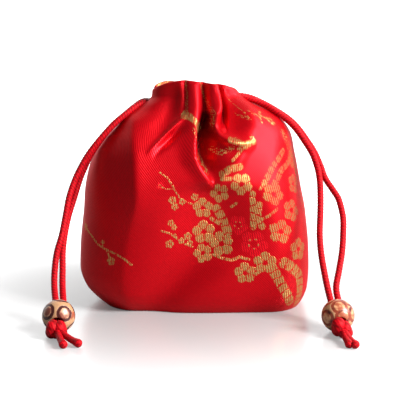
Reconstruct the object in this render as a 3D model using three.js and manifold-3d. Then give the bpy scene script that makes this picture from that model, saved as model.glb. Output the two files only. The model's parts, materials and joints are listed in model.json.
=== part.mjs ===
// Drawstring gift bag: a gathered brocade pouch with two drawcords, each ended in a wooden bead and a knot.
// Millimetres, +Z up, front towards -Y. The origin is the middle of the pouch's base, where it stands.
import * as THREE from 'three';
import { ParametricGeometry } from 'three/addons/geometries/ParametricGeometry.js';
import { mergeVertices } from 'three/addons/utils/BufferGeometryUtils.js';
import Module from 'manifold-3d';

const wasm = await Module();
wasm.setup();

// Driving dimensions
const WALL = 1.6; // cloth and lining, measured level
const HEM_LEVEL = 90; // level of the hem in the tables below
const CASING_FOOT = 74; // above this level the rows rise and fall with the hem
const HEM_EDGE = 2.4; // thickness of the folded hem at its top
const HEM_ROUND = 0.7; // how far the fold turns in at the very top
const CORD = { diameter: 2.3, sides: 8, steps: 62 };
const STRAND_OFFSET = 1.3; // from the bead's axis to each strand in its hole
const STRAND_REACH = [0.92, 0, -0.95]; // along the hole, in half diameters of the bead, front end to back
const BEAD = { diameter: 12.2, hole: 5.5, rimWidth: 0.35, rimDepth: 0.3, arcPoints: 8, segments: 16 };
const HOLE_SLOPE = 0.29; // fall of the bead's hole for each millimetre forwards
const KNOT = { reach: 8.8, halfWidth: 3.8, halfLength: 2.95, halfHeight: 3.4 }; // reach from the bead
const WRAP = { radius: 2.35, thickness: 2.3, turn: 0.6 }; // the turn of cord round the knot's core
const TAIL = { bulb: 2.9, above: 0.05, hump: 0.5, humpAt: 0.55, steps: 4 }; // short ends, melted to a bulb

// The casing's tunnel: an oval ring round the neck that rises from its sides to the front and the back
const TUNNEL = {
  midX: 0.8, halfWidth: 15, halfDepth: 8.6, width: 4.1, height: 6.4,
  sideZ: 79.6, frontRise: 3.6, backRise: 1.4,
};
const CORD_STACK = 1.25; // the right cord runs this far above the tunnel's middle, the left cord below it
const SLIT = { innerWidth: 12.4, outerWidth: 7.6, height: 4, length: 10 };
const MOUTH_WALL = 1.25; // cloth between the tunnel and the mouth
const SHOULDER = { inward: 0.3, upward: 0.7 }; // of the way from the wall's inner side to the mouth
const MOUTH_OPEN = { below: 0.4, above: 8 }; // the hollow's top rows, measured from the hem's edge

const COLUMNS = 76; // round the pouch
const CROWDING = 0.38; // columns stand closer together at the front and back, where the folds are
const TUNNEL_STEPS = 40;
const TUNNEL_SIDES = 8;

// Level sections of the pouch without its folds, base to hem
const SECTIONS = [
  { level: 0, halfWidth: 38.2, halfDepth: 23.8, squareness: 3.0, midX: 3.2 },
  { level: 1.6, halfWidth: 40.0, halfDepth: 25.0, squareness: 2.9, midX: 2.8 },
  { level: 4, halfWidth: 42.2, halfDepth: 26.3, squareness: 2.8, midX: 2.0 },
  { level: 8, halfWidth: 44.6, halfDepth: 27.5, squareness: 2.7, midX: 0.8 },
  { level: 14, halfWidth: 45.8, halfDepth: 28.2, squareness: 2.6, midX: 0 },
  { level: 22, halfWidth: 45.6, halfDepth: 28.8, squareness: 2.5, midX: 0 },
  { level: 36, halfWidth: 44.2, halfDepth: 28.6, squareness: 2.5, midX: 0 },
  { level: 48, halfWidth: 42.5, halfDepth: 27.6, squareness: 2.5, midX: -0.6 },
  { level: 60, halfWidth: 39.6, halfDepth: 25.2, squareness: 2.5, midX: 0 },
  { level: 66.5, halfWidth: 36.3, halfDepth: 23.2, squareness: 2.4, midX: 2.0 },
  { level: 72, halfWidth: 31.9, halfDepth: 20.8, squareness: 2.3, midX: 3.5 },
  { level: 77, halfWidth: 26.7, halfDepth: 18.4, squareness: 2.2, midX: 3.3 },
  { level: 81, halfWidth: 22.1, halfDepth: 16.4, squareness: 2.1, midX: 2.1 },
  { level: 85, halfWidth: 18.4, halfDepth: 14.8, squareness: 2.0, midX: 1.2 },
  { level: 90, halfWidth: 16.8, halfDepth: 13.4, squareness: 2.0, midX: 0.2 },
];

// Height of the hem's top edge, by the angle round the neck: 0 right, 90 back, 180 left, 270 front
const HEM = [
  { angle: 0, z: 84.2 },
  { angle: 35, z: 84.9 },
  { angle: 90, z: 86.0 },
  { angle: 135, z: 86.8 },
  { angle: 162, z: 85.8 },
  { angle: 180, z: 84.0 },
  { angle: 198, z: 85.2 },
  { angle: 235, z: 88.4 },
  { angle: 258, z: 89.2 },
  { angle: 285, z: 88.2 },
  { angle: 318, z: 87.0 },
  { angle: 342, z: 85.3 },
  { angle: 360, z: 84.2 },
];

// Folds that run down a face: at each level, the fold's place across the face, its rise and its width.
// skew: how many times wider a fold is on its right than on its left
const DOWN_FOLDS = [
  { name: 'left tuck', face: 'front', level: [75, 77.5, 82, 90], at: [-4.4, -3, -2.4, -2.6],
    rise: [0, -1.2, -1.5, -1.6], width: [1.2, 1.2, 1.1, 1.1] },
  { name: 'left panel', face: 'front', level: [72, 75.5, 82, 90], at: [-1, -0.4, 0.6, 0.6],
    rise: [0, 1, 1.2, 1], width: [2.4, 2.2, 2, 2] },
  { name: 'centre valley', face: 'front', level: [49.5, 57, 64, 71, 78, 90],
    at: [6.8, 5.4, 4.6, 3.4, 3.8, 3.8], rise: [0, -3.8, -5.8, -4.2, -3.6, -3.2],
    width: [1.4, 2.6, 4.2, 2.2, 1.4, 1.3] },
  { name: 'left lip', face: 'front', level: [48.5, 54.5, 61, 67.5, 76], at: [6.2, 2.4, -0.8, -1.6, -1.6],
    rise: [0, 1.8, 2, 1.8, 0], width: [3, 3, 3.2, 3, 2.6] },
  { name: 'right lip', face: 'front', level: [67, 72, 75.5, 82, 90], at: [8.6, 7.6, 7.8, 7.6, 7],
    rise: [0, 2.2, 2.2, 1.8, 1.4], width: [2.2, 2.1, 2.1, 2, 1.8] },
  { name: 'right tuck', face: 'front', level: [69, 71.5, 78, 90], at: [10.6, 10.2, 10.6, 10.3],
    rise: [0, -2.4, -3, -2.8], width: [1.3, 1.3, 1.2, 1.1] },
  { name: 'right dent', face: 'front', level: [65, 71, 75, 86], at: [17, 16.8, 16.7, 15.8],
    rise: [0, -2, -2.4, 0], width: [4, 5, 5, 4] },
  { name: 'left dent', face: 'front', level: [66, 72, 78, 88], at: [-12.6, -10.6, -8.6, -7.4],
    rise: [0, -1.8, -2.2, 0], width: [4.5, 4.8, 4.6, 4] },
  { name: 'left edge', face: 'front', level: [0, 13.5, 30, 47, 63.5, 82],
    at: [-25.2, -27, -24.8, -21, -21.3, -21.6], rise: [2.2, 2, 2.2, 3, 3, 0],
    width: [6, 6, 7, 6, 5, 3.5] },
  { name: 'front valley', face: 'front', level: [0, 6, 12, 18, 24, 36, 46, 52],
    at: [-17, -13, -8.5, -3, 2.5, 7, 7.8, 7.5], rise: [-1.4, -2.4, -3.2, -4, -4.8, -5.6, -4.2, 0],
    width: [9, 9, 9.5, 10, 10.5, 10.5, 9, 7], skew: 1.35 },
  { name: 'right edge', face: 'front', level: [0, 8, 20, 34, 46, 60, 74],
    at: [33, 34.5, 35, 33.5, 31.5, 31, 30.5], rise: [2.4, 3, 3, 2.6, 2, 1, 0],
    width: [8, 9, 9.5, 9, 7.5, 5, 4] },
  { name: 'back valley', face: 'back', level: [54, 64, 76, 90], at: [-3.8, -3.2, -2.4, -2],
    rise: [0, -3.2, -4, -3.4], width: [3, 3.4, 1.8, 1.3] },
  { name: 'back left tuck', face: 'back', level: [62, 70, 78, 90], at: [-15, -12, -9.4, -8.4],
    rise: [0, -1.8, -3, -3], width: [2.8, 2.4, 1.5, 1.2] },
  { name: 'back right tuck', face: 'back', level: [58, 68, 77, 90], at: [9.4, 7.6, 6.2, 5.4],
    rise: [0, -2.2, -3.2, -3], width: [3, 2.6, 1.6, 1.2] },
  { name: 'back outer tuck', face: 'back', level: [65, 72, 80, 90], at: [19, 15.5, 12.4, 11],
    rise: [0, -1.5, -2.6, -2.6], width: [2.6, 2.2, 1.5, 1.2] },
  { name: 'back left ridge', face: 'back', level: [56, 70, 90], at: [-8.4, -6.6, -5.4],
    rise: [0, 1.6, 1], width: [4, 2.8, 1.8] },
  { name: 'back right ridge', face: 'back', level: [54, 70, 90], at: [2.8, 2, 1.8],
    rise: [0, 1.6, 1], width: [4, 2.8, 1.8] },
  { name: 'back dent', face: 'back', level: [22, 38, 52], at: [2, 4, 6],
    rise: [0, -1.4, 0], width: [13, 15, 13] },
  { name: 'back left edge', face: 'back', level: [0, 20, 45, 68], at: [-29, -33, -31, -29],
    rise: [1, 0.5, 0.7, 0], width: [4, 6, 5, 4] },
  { name: 'back right edge', face: 'back', level: [0, 20, 45, 68], at: [33, 34, 31, 29],
    rise: [1, 0.5, 0.7, 0], width: [4, 6, 5, 4] },
  { name: 'left slit', face: 'left', level: [68, 74, 80, 90], at: [0, 0, 0, 0],
    rise: [0, -1.2, -2, -1.8], width: [3.4, 2.8, 2.2, 2] },
  { name: 'right slit', face: 'right', level: [68, 74, 80, 90], at: [0, 0, 0, 0],
    rise: [0, -1.2, -2, -1.8], width: [3.4, 2.8, 2.2, 2] },
];

// Folds that run across a face: at each place across it, the fold's level, its rise and its width
const CROSS_FOLDS = [
  { name: 'right shelf', face: 'front', at: [6.5, 12.9, 17.3, 24], level: [69.2, 67.6, 66.8, 66],
    rise: [0, 2, 1.6, 0], width: [1.6, 1.7, 1.8, 2] },
  { name: 'left shelf', face: 'front', at: [-16.5, -9.2, -2.5], level: [63.8, 71, 77],
    rise: [0, 1.6, 0], width: [1.1, 1.1, 1.1] },
  { name: 'left groove', face: 'front', at: [-14.5, -9.2, -3], level: [62.8, 67.8, 72.4],
    rise: [0, -1.1, 0], width: [1.2, 1.2, 1.2] },
  { name: 'right slope', face: 'front', at: [6.8, 11.6, 17.2, 22], level: [49.5, 54.5, 60, 64.5],
    rise: [0, 0.9, 0.9, 0], width: [3, 3, 3.4, 3.4] },
];

const FACES = {
  front: { out: [0, -1], across: 0 },
  back: { out: [0, 1], across: 0 },
  left: { out: [-1, 0], across: 1 },
  right: { out: [1, 0], across: 1 },
};
const FACE_EDGE = { start: 0.15, span: 0.3 }; // a fold fades where the cloth turns away from its face

// Rows of the outer surface, and of the hollow up to where it closes in under the casing
const OUTER_LEVELS = [0, 1.6, 4, 8, 14, 22, 30, 38, 45, 50, 54, 57.5, 60.5, 63, 65.2, 67.2, 69, 71, 73, 75.4,
  78, 81, 84.5, 88];
const HOLLOW_LEVELS = [1.6, 4, 8, 15, 24, 34, 44, 51.5, 57.5, 62, 65.5, 69];

// Where each cord's two strands lie, as x, y, z from the back of the bead up to the slit in the casing
const STRANDS = {
  left: {
    front: [[-51.7, -40.8, 9.1], [-52.8, -35, 14.1], [-52.8, -32.4, 19.3], [-52.1, -29.6, 25.6],
      [-50.5, -27.2, 31.3], [-49.2, -23.6, 38.4], [-48.1, -20.5, 44.8], [-46, -17.4, 51.2], [-43.9, -15.8, 55.6],
      [-41, -14.5, 60.5], [-36.7, -13, 66], [-31.7, -11, 71.4], [-26.7, -8.6, 75.6], [-23.2, -6.4, 78],
      [-20.1, -4.1, 79.6], [-16.9, -2.9, 79.3], [-13.9, -3.3, 78.7]],
    rear: [[-48.9, -40.7, 9.2], [-49.8, -34.2, 13.9], [-50, -31, 19], [-50.2, -27.4, 25.1], [-49.7, -24.4, 30.7],
      [-48.4, -20.2, 37.7], [-46.5, -16.6, 44], [-44.5, -13.6, 50.6], [-42.7, -12.2, 55], [-40.3, -11.4, 60],
      [-36.6, -10, 65.5], [-32, -8, 71], [-26.9, -5.6, 75.2], [-23.6, -3.6, 77.8], [-20.3, -0.9, 79.7],
      [-17.1, 1.7, 79.4], [-14, 3.5, 78.7]],
  },
  right: {
    front: [[51.2, -40.2, 9.1], [50.1, -37.6, 13.6], [48.9, -34.4, 19.8], [48, -31, 26], [47.7, -27.8, 32.2],
      [48.1, -24.5, 38.5], [48.4, -21, 44.9], [48.3, -17.4, 51.2], [47.6, -15, 55.5], [45.8, -12.4, 60.6],
      [43, -9.8, 65.1], [39.5, -7.2, 69.9], [36, -5.4, 73.2], [31.4, -3.8, 76.3], [26.4, -2, 79],
      [21.8, -1.9, 80.9], [17.8, -2.6, 81.8], [13.8, -4.4, 81.7]],
    rear: [[54, -40.1, 9.2], [53.4, -36.8, 13.4], [54.8, -33, 19.5], [56.2, -29, 25.5], [56.9, -25.4, 31.7],
      [57.1, -22.2, 37.3], [56.4, -20.2, 41.2], [55.4, -18.6, 44.4], [53.3, -17, 47.6], [50.7, -15.2, 51.4],
      [48.9, -12.2, 56.2], [46.9, -9.4, 60.7], [43.9, -6.8, 65.3], [40.2, -4, 70.1], [36.6, -2.2, 73.3],
      [31.8, -0.6, 76.3], [26.6, 1.4, 79], [21.6, 1.9, 81], [17.4, 2.7, 81.6], [13.6, 4.6, 81.3]],
  },
};

// Each bead lies on the surface in front of the pouch; its hole slopes forwards and down to the knot.
// ring: angles round the tunnel that the cord passes, from its front strand to its rear one.
const SIDES = {
  left: {
    stack: -CORD_STACK, slitX: -1, slitZ: 79.6,
    ring: [230, 250, 270, 295, 320, 340, 0, 20, 40, 65, 90, 110, 130],
    bead: [-49.8, -49.2], yaw: -0.01, tails: [[-45.7, -71], [-40, -69.4]],
  },
  right: {
    stack: CORD_STACK, slitX: 1, slitZ: 81.2,
    ring: [310, 290, 270, 245, 220, 200, 180, 160, 140, 115, 90, 70, 50],
    bead: [53, -48.6], yaw: 0.06, tails: [[57.4, -71.2], [55.1, -70.6]],
  },
};

const COLOURS = { brocade: 0xc00812, cord: 0xc60c18, wood: 0xc89a6a };

// Smooth, overshoot-free curve through a table's points, held level beyond its ends
function smoothTable(xs, ys, x) {
  const last = xs.length - 1;
  if (x <= xs[0]) return ys[0];
  if (x >= xs[last]) return ys[last];
  let i = 0;
  while (x > xs[i + 1]) i += 1;
  const slope = (k) => (ys[k + 1] - ys[k]) / (xs[k + 1] - xs[k]);
  const tangent = (k) => {
    if (k === 0) return slope(0);
    if (k === last) return slope(last - 1);
    const [before, after] = [slope(k - 1), slope(k)];
    if (before * after <= 0) return 0;
    const [h0, h1] = [xs[k] - xs[k - 1], xs[k + 1] - xs[k]];
    const [w0, w1] = [2 * h1 + h0, h1 + 2 * h0];
    return (w0 + w1) / (w0 / before + w1 / after);
  };
  const h = xs[i + 1] - xs[i];
  const t = (x - xs[i]) / h;
  const rest = 1 - t;
  return (1 + 2 * t) * rest * rest * ys[i] + t * rest * rest * h * tangent(i)
    + t * t * (3 - 2 * t) * ys[i + 1] - t * t * rest * h * tangent(i + 1);
}

const column = (rows, key) => rows.map((row) => row[key]);
const levels = column(SECTIONS, 'level');

function hemHeight(angle) {
  const degrees = (THREE.MathUtils.radToDeg(angle) + 720) % 360;
  return smoothTable(column(HEM, 'angle'), column(HEM, 'z'), degrees);
}

// Rise of all folds at a place on the unfolded cloth
function foldRise(place, normal, level) {
  let rise = 0;
  for (const fold of [...DOWN_FOLDS, ...CROSS_FOLDS]) {
    const face = FACES[fold.face];
    const facing = normal[0] * face.out[0] + normal[1] * face.out[1];
    const share = THREE.MathUtils.smoothstep(facing, FACE_EDGE.start, FACE_EDGE.start + FACE_EDGE.span);
    const across = place[face.across];
    const runsDown = DOWN_FOLDS.includes(fold);
    const along = runsDown ? level : across;
    const stations = runsDown ? fold.level : fold.at;
    const beyondFoot = along < stations[0] && stations[0] > 0;
    const beyondEnd = !runsDown && (along < stations[0] || along > stations.at(-1));
    if (share === 0 || beyondFoot || beyondEnd) continue;
    const centre = smoothTable(stations, runsDown ? fold.at : fold.level, along);
    const beside = (runsDown ? across : level) - centre;
    const width = smoothTable(stations, fold.width, along) * (beside > 0 ? fold.skew ?? 1 : 1);
    rise += share * smoothTable(stations, fold.rise, along) * Math.exp(-((beside / width) ** 2));
  }
  return rise;
}

// A point of the cloth at an angle round the pouch and a level, set in from the outer surface
function clothPoint(angle, level, inset = 0, foldShare = 1) {
  const [halfWidth, halfDepth, squareness, midX] = ['halfWidth', 'halfDepth', 'squareness', 'midX']
    .map((key) => smoothTable(levels, column(SECTIONS, key), level));
  const [c, s] = [Math.cos(angle), Math.sin(angle)];
  const round = (Math.abs(c) ** squareness + Math.abs(s) ** squareness) ** (-1 / squareness);
  const place = [midX + halfWidth * c * round, halfDepth * s * round];
  const gradient = new THREE.Vector2(
    Math.sign(c) * Math.abs(c * round) ** (squareness - 1) / halfWidth,
    Math.sign(s) * Math.abs(s * round) ** (squareness - 1) / halfDepth,
  ).normalize();
  const normal = gradient.toArray();
  const rise = foldShare * foldRise(place, normal, level) - inset;
  const stretch = (hemHeight(angle) - CASING_FOOT) / (HEM_LEVEL - CASING_FOOT);
  const z = level > CASING_FOOT ? CASING_FOOT + (level - CASING_FOOT) * stretch : level;
  return new THREE.Vector3(place[0] + normal[0] * rise, place[1] + normal[1] * rise, z);
}

const columnAngle = (u) => 2 * Math.PI * u - (CROWDING / 2) * Math.sin(4 * Math.PI * u) - Math.PI / 2;

// Closed surface through rows of points, each row a function of the angle; the first and last row are poles
function loft(rows) {
  return new ParametricGeometry((u, v, target) => {
    target.copy(rows[Math.round(v * (rows.length - 1))](columnAngle(u)));
  }, COLUMNS, rows.length - 1);
}

// Closed mesh as a solid for cutting and joining, with doubled vertices and flat triangles taken out
function solid(geometry) {
  const bare = geometry.clone();
  bare.deleteAttribute('normal');
  bare.deleteAttribute('uv');
  const merged = mergeVertices(bare, 1e-4);
  const corners = merged.index.array;
  const kept = [];
  for (let i = 0; i < corners.length; i += 3) {
    const [a, b, c] = corners.slice(i, i + 3);
    if (a !== b && b !== c && c !== a) kept.push(a, b, c);
  }
  return new wasm.Manifold(new wasm.Mesh({
    numProp: 3,
    vertProperties: new Float32Array(merged.attributes.position.array),
    triVerts: new Uint32Array(kept),
  }));
}

function geometryOf(body) {
  const mesh = body.getMesh();
  const geometry = new THREE.BufferGeometry();
  geometry.setAttribute('position', new THREE.BufferAttribute(new Float32Array(mesh.vertProperties), 3));
  geometry.setIndex(new THREE.BufferAttribute(new Uint32Array(mesh.triVerts), 1));
  geometry.computeVertexNormals();
  return geometry;
}

// Middle line of the tunnel at an angle round the neck
function tunnelPoint(angle) {
  const [c, s] = [Math.cos(angle), Math.sin(angle)];
  const rise = s < 0 ? TUNNEL.frontRise : TUNNEL.backRise;
  return new THREE.Vector3(
    TUNNEL.midX + TUNNEL.halfWidth * c,
    TUNNEL.halfDepth * s,
    TUNNEL.sideZ + rise * s * s,
  );
}

function outerCloth() {
  const baseMiddle = new THREE.Vector3(SECTIONS[0].midX, 0, 0);
  const mouthMiddle = new THREE.Vector3(TUNNEL.midX, 0, hemHeight(0));
  return loft([
    () => baseMiddle,
    ...OUTER_LEVELS.map((level) => (angle) => clothPoint(angle, level)),
    (angle) => clothPoint(angle, HEM_LEVEL, HEM_ROUND),
    () => mouthMiddle,
  ]);
}

// The hollow: the cloth's inner side, drawn in under the casing to the mouth, open again to the hem's edge
function hollow() {
  const reach = TUNNEL.width / 2 + MOUTH_WALL;
  const mouthPoint = (angle, above) => {
    const point = tunnelPoint(angle);
    point.x = TUNNEL.midX + (TUNNEL.halfWidth - reach) * Math.cos(angle);
    point.y = (TUNNEL.halfDepth - reach) * Math.sin(angle);
    point.z += above;
    return point;
  };
  const casingHalf = TUNNEL.height / 2 + MOUTH_WALL;
  const topLevel = HOLLOW_LEVELS.at(-1);
  const roofPoint = (angle) => {
    const wall = clothPoint(angle, topLevel, WALL);
    const lip = mouthPoint(angle, -casingHalf);
    return wall.lerp(lip, SHOULDER.inward).setZ(THREE.MathUtils.lerp(topLevel, lip.z, SHOULDER.upward));
  };
  const edgePoint = (angle, above) => {
    const edge = clothPoint(angle, HEM_LEVEL, HEM_EDGE);
    edge.z += above;
    return edge;
  };
  const floorMiddle = new THREE.Vector3(SECTIONS[0].midX, 0, HOLLOW_LEVELS[0]);
  const aboveMouth = new THREE.Vector3(TUNNEL.midX, 0, HEM_LEVEL + MOUTH_OPEN.above);
  return loft([
    () => floorMiddle,
    ...HOLLOW_LEVELS.map((level) => (angle) => clothPoint(angle, level, WALL)),
    roofPoint,
    (angle) => mouthPoint(angle, -casingHalf),
    (angle) => mouthPoint(angle, casingHalf),
    (angle) => edgePoint(angle, -MOUTH_OPEN.below),
    (angle) => edgePoint(angle, MOUTH_OPEN.above),
    () => aboveMouth,
  ]);
}

// The tunnel for the cords, round the neck inside the casing
function tunnel() {
  return new ParametricGeometry((u, v, target) => {
    const [angle, turn] = [2 * Math.PI * u, 2 * Math.PI * v];
    const [c, s] = [Math.cos(angle), Math.sin(angle)];
    const outward = new THREE.Vector3(c / TUNNEL.halfWidth, s / TUNNEL.halfDepth, 0).normalize();
    target.copy(tunnelPoint(angle)).addScaledVector(outward, (TUNNEL.width / 2) * Math.cos(turn));
    target.z += (TUNNEL.height / 2) * Math.sin(turn);
  }, TUNNEL_STEPS, TUNNEL_SIDES);
}

// The slit at one side, from the tunnel out through the cloth, narrowing outwards
function slit(side) {
  const plan = new THREE.Shape([
    new THREE.Vector2(0, -SLIT.innerWidth / 2),
    new THREE.Vector2(SLIT.length, -SLIT.outerWidth / 2),
    new THREE.Vector2(SLIT.length, SLIT.outerWidth / 2),
    new THREE.Vector2(0, SLIT.innerWidth / 2),
  ]);
  const wedge = new THREE.ExtrudeGeometry(plan, { depth: SLIT.height, bevelEnabled: false });
  wedge.rotateZ(side.slitX > 0 ? 0 : Math.PI);
  const inner = TUNNEL.midX + side.slitX * (TUNNEL.halfWidth - TUNNEL.width / 4);
  wedge.translate(inner, 0, side.slitZ - SLIT.height / 2);
  return wedge;
}

function pouchGeometry() {
  const body = solid(outerCloth()).subtract(solid(hollow())).subtract(solid(tunnel()));
  return geometryOf(Object.values(SIDES).reduce((cut, side) => cut.subtract(solid(slit(side))), body));
}

const holeAxis = (side) => new THREE.Vector3(side.yaw, -1, -HOLE_SLOPE).normalize();
const beadMiddle = (side) => new THREE.Vector3(side.bead[0], side.bead[1], BEAD.diameter / 2);

// A round section with few sides carried along a curve
function tube(points, steps) {
  const corners = Array.from({ length: CORD.sides }, (_, i) => {
    const turn = (2 * Math.PI * i) / CORD.sides;
    return new THREE.Vector2(Math.cos(turn), Math.sin(turn)).multiplyScalar(CORD.diameter / 2);
  });
  const extrudePath = new THREE.CatmullRomCurve3(points, false, 'centripetal');
  return new THREE.ExtrudeGeometry(new THREE.Shape(corners), { extrudePath, steps });
}

// One whole cord: bead, front strand, slit, round the tunnel, slit, rear strand, bead
function drawcordGeometry(name) {
  const side = SIDES[name];
  const axis = holeAxis(side);
  const across = new THREE.Vector3(1, 0, 0).addScaledVector(axis, -axis.x).normalize();
  const inBead = (offset) => STRAND_REACH.map((share) => beadMiddle(side)
    .addScaledVector(axis, share * BEAD.diameter / 2).addScaledVector(across, offset));
  const strand = (which) => STRANDS[name][which].map((point) => new THREE.Vector3(...point));
  const frontIsLeft = STRANDS[name].front[0][0] < STRANDS[name].rear[0][0] ? -1 : 1;
  const ring = side.ring.map((degrees) => {
    const point = tunnelPoint(THREE.MathUtils.degToRad(degrees));
    point.z += side.stack;
    return point;
  });
  return tube([
    ...inBead(frontIsLeft * STRAND_OFFSET), ...strand('front'), ...ring,
    ...strand('rear').reverse(), ...inBead(-frontIsLeft * STRAND_OFFSET).reverse(),
  ], CORD.steps);
}

// Turned bead with a drilled hole, its axis along +Y before it is placed
function beadGeometry() {
  const [radius, hole] = [BEAD.diameter / 2, BEAD.hole / 2];
  const rimAngle = Math.acos((hole + BEAD.rimWidth) / radius);
  const outside = Array.from({ length: BEAD.arcPoints }, (_, i) => {
    const turn = THREE.MathUtils.lerp(-rimAngle, rimAngle, i / (BEAD.arcPoints - 1));
    return new THREE.Vector2(radius * Math.cos(turn), radius * Math.sin(turn));
  });
  const end = radius * Math.sin(rimAngle) - BEAD.rimDepth;
  const bore = [new THREE.Vector2(hole, end), new THREE.Vector2(hole, -end)];
  return new THREE.LatheGeometry([...outside, ...bore, outside[0].clone()], BEAD.segments);
}

// Overhand knot: a core with one turn wrapped round it, and the two tails lying on the surface
function knotGeometry(side) {
  const axis = holeAxis(side);
  const middle = beadMiddle(side).addScaledVector(axis, KNOT.reach);
  const core = new THREE.SphereGeometry(1, 10, 6);
  core.scale(KNOT.halfWidth, KNOT.halfLength, KNOT.halfHeight);
  core.translate(...middle);
  const wrap = new THREE.TorusGeometry(WRAP.radius, WRAP.thickness / 2, 6, 11);
  wrap.rotateX(Math.PI / 2);
  wrap.rotateZ(side.slitX * WRAP.turn);
  wrap.translate(...middle);
  const tailZ = TAIL.bulb / 2 + TAIL.above;
  const pieces = side.tails.flatMap(([x, y]) => {
    const end = new THREE.Vector3(x, y, tailZ);
    const half = middle.clone().lerp(end, TAIL.humpAt).setZ(tailZ + TAIL.hump);
    const bulb = new THREE.SphereGeometry(TAIL.bulb / 2, 7, 5);
    bulb.translate(...end);
    return [tube([middle, half, end], TAIL.steps), bulb];
  });
  return geometryOf(pieces.reduce((body, piece) => body.add(solid(piece)), solid(core).add(solid(wrap))));
}

function node(name, geometry, colour, roughness) {
  const material = new THREE.MeshStandardMaterial({ color: colour, roughness, metalness: 0 });
  const mesh = new THREE.Mesh(geometry, material);
  mesh.name = name;
  return mesh;
}

const bag = new THREE.Group();
bag.add(node('pouch', pouchGeometry(), COLOURS.brocade, 0.4));
for (const [name, side] of Object.entries(SIDES)) {
  bag.add(node(`drawcord_${name}`, drawcordGeometry(name), COLOURS.cord, 0.55));
  const bead = node(`bead_${name}`, beadGeometry(), COLOURS.wood, 0.3);
  bead.position.copy(beadMiddle(side));
  bead.quaternion.setFromUnitVectors(new THREE.Vector3(0, 1, 0), holeAxis(side));
  bag.add(bead);
  bag.add(node(`knot_${name}`, knotGeometry(side), COLOURS.cord, 0.55));
}

export default bag;
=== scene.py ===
"""Drawstring gift bag: a gathered brocade pouch, its two beaded drawcords and a plain studio.

Every piece is a surface worked out with numpy on a grid and stands where its CAD node stands.
The scene is in metres. Tables of the cloth and its figures are in millimetres, and MM turns them into metres.
"""

import json
from collections import namedtuple

import bpy
import numpy as np
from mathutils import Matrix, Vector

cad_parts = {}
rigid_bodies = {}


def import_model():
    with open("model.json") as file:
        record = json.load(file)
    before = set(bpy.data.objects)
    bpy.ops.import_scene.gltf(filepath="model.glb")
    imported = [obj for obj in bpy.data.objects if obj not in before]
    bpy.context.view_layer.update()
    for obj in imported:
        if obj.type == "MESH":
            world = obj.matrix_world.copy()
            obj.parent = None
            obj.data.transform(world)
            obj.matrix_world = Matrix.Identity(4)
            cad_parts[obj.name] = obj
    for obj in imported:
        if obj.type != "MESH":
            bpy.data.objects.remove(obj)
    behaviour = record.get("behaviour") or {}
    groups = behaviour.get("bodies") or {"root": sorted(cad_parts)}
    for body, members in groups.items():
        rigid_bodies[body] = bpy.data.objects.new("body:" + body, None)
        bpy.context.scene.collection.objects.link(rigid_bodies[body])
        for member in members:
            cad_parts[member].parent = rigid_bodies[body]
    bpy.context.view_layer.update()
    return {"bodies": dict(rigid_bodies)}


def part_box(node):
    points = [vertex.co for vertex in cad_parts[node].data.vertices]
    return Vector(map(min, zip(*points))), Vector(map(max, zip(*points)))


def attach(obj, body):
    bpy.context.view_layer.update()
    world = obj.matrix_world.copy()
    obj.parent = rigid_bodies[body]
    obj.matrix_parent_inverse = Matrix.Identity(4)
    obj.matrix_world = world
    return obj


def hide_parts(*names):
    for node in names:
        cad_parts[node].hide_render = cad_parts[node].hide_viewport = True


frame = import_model()

bl_info = {
    "name": "Drawstring gift bag",
    "version": (1, 0, 0),
    "blender": (4, 5, 0),
    "location": "3D View > Sidebar > Gift bag",
    "description": "Builds a gathered brocade pouch with beaded drawcords around its CAD frame",
    "category": "Object",
}

MM = 0.001
BODY = next(iter(frame["bodies"]))
SIDES = ("left", "right")


def node_middle(name):
    """Middle of a CAD node's box."""
    low, high = (np.array(corner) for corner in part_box(name))
    return (low + high) / 2


# The cloth

HEM_LEVEL = 90.0
CASING_FOOT = 74.0  # above this level the rows rise and fall with the hem
WIDEST_LEVEL = 22.0  # the figures of the brocade are laid out round this section

# Level sections of the pouch without its folds: level, half width, half depth, squareness, middle x
SECTIONS = np.array([
    [0, 38.2, 23.8, 3.0, 3.2],
    [1.6, 40.0, 25.0, 2.9, 2.8],
    [4, 42.2, 26.3, 2.8, 2.0],
    [8, 44.6, 27.5, 2.7, 0.8],
    [14, 45.8, 28.2, 2.6, 0],
    [22, 45.6, 28.8, 2.5, 0],
    [36, 44.2, 28.6, 2.5, 0],
    [48, 42.5, 27.6, 2.5, -0.6],
    [60, 39.6, 25.2, 2.5, 0],
    [66.5, 36.6, 23.2, 2.4, 1.7],
    [72, 32.2, 20.8, 2.3, 3.2],
    [77, 26.7, 18.4, 2.2, 3.3],
    [81, 22.1, 16.4, 2.1, 2.1],
    [85, 18.4, 14.8, 2.0, 1.2],
    [90, 16.8, 13.4, 2.0, 0.2],
])

# Height of the hem's top edge by the angle round the neck: 0 right, 90 back, 180 left, 270 front
HEM = np.array([
    [0, 84.2], [35, 84.9], [90, 86.0], [135, 86.8], [162, 85.8], [180, 84.0], [198, 85.2],
    [235, 88.4], [258, 89.2], [285, 88.2], [318, 87.0], [342, 85.3], [360, 84.2],
])

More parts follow.
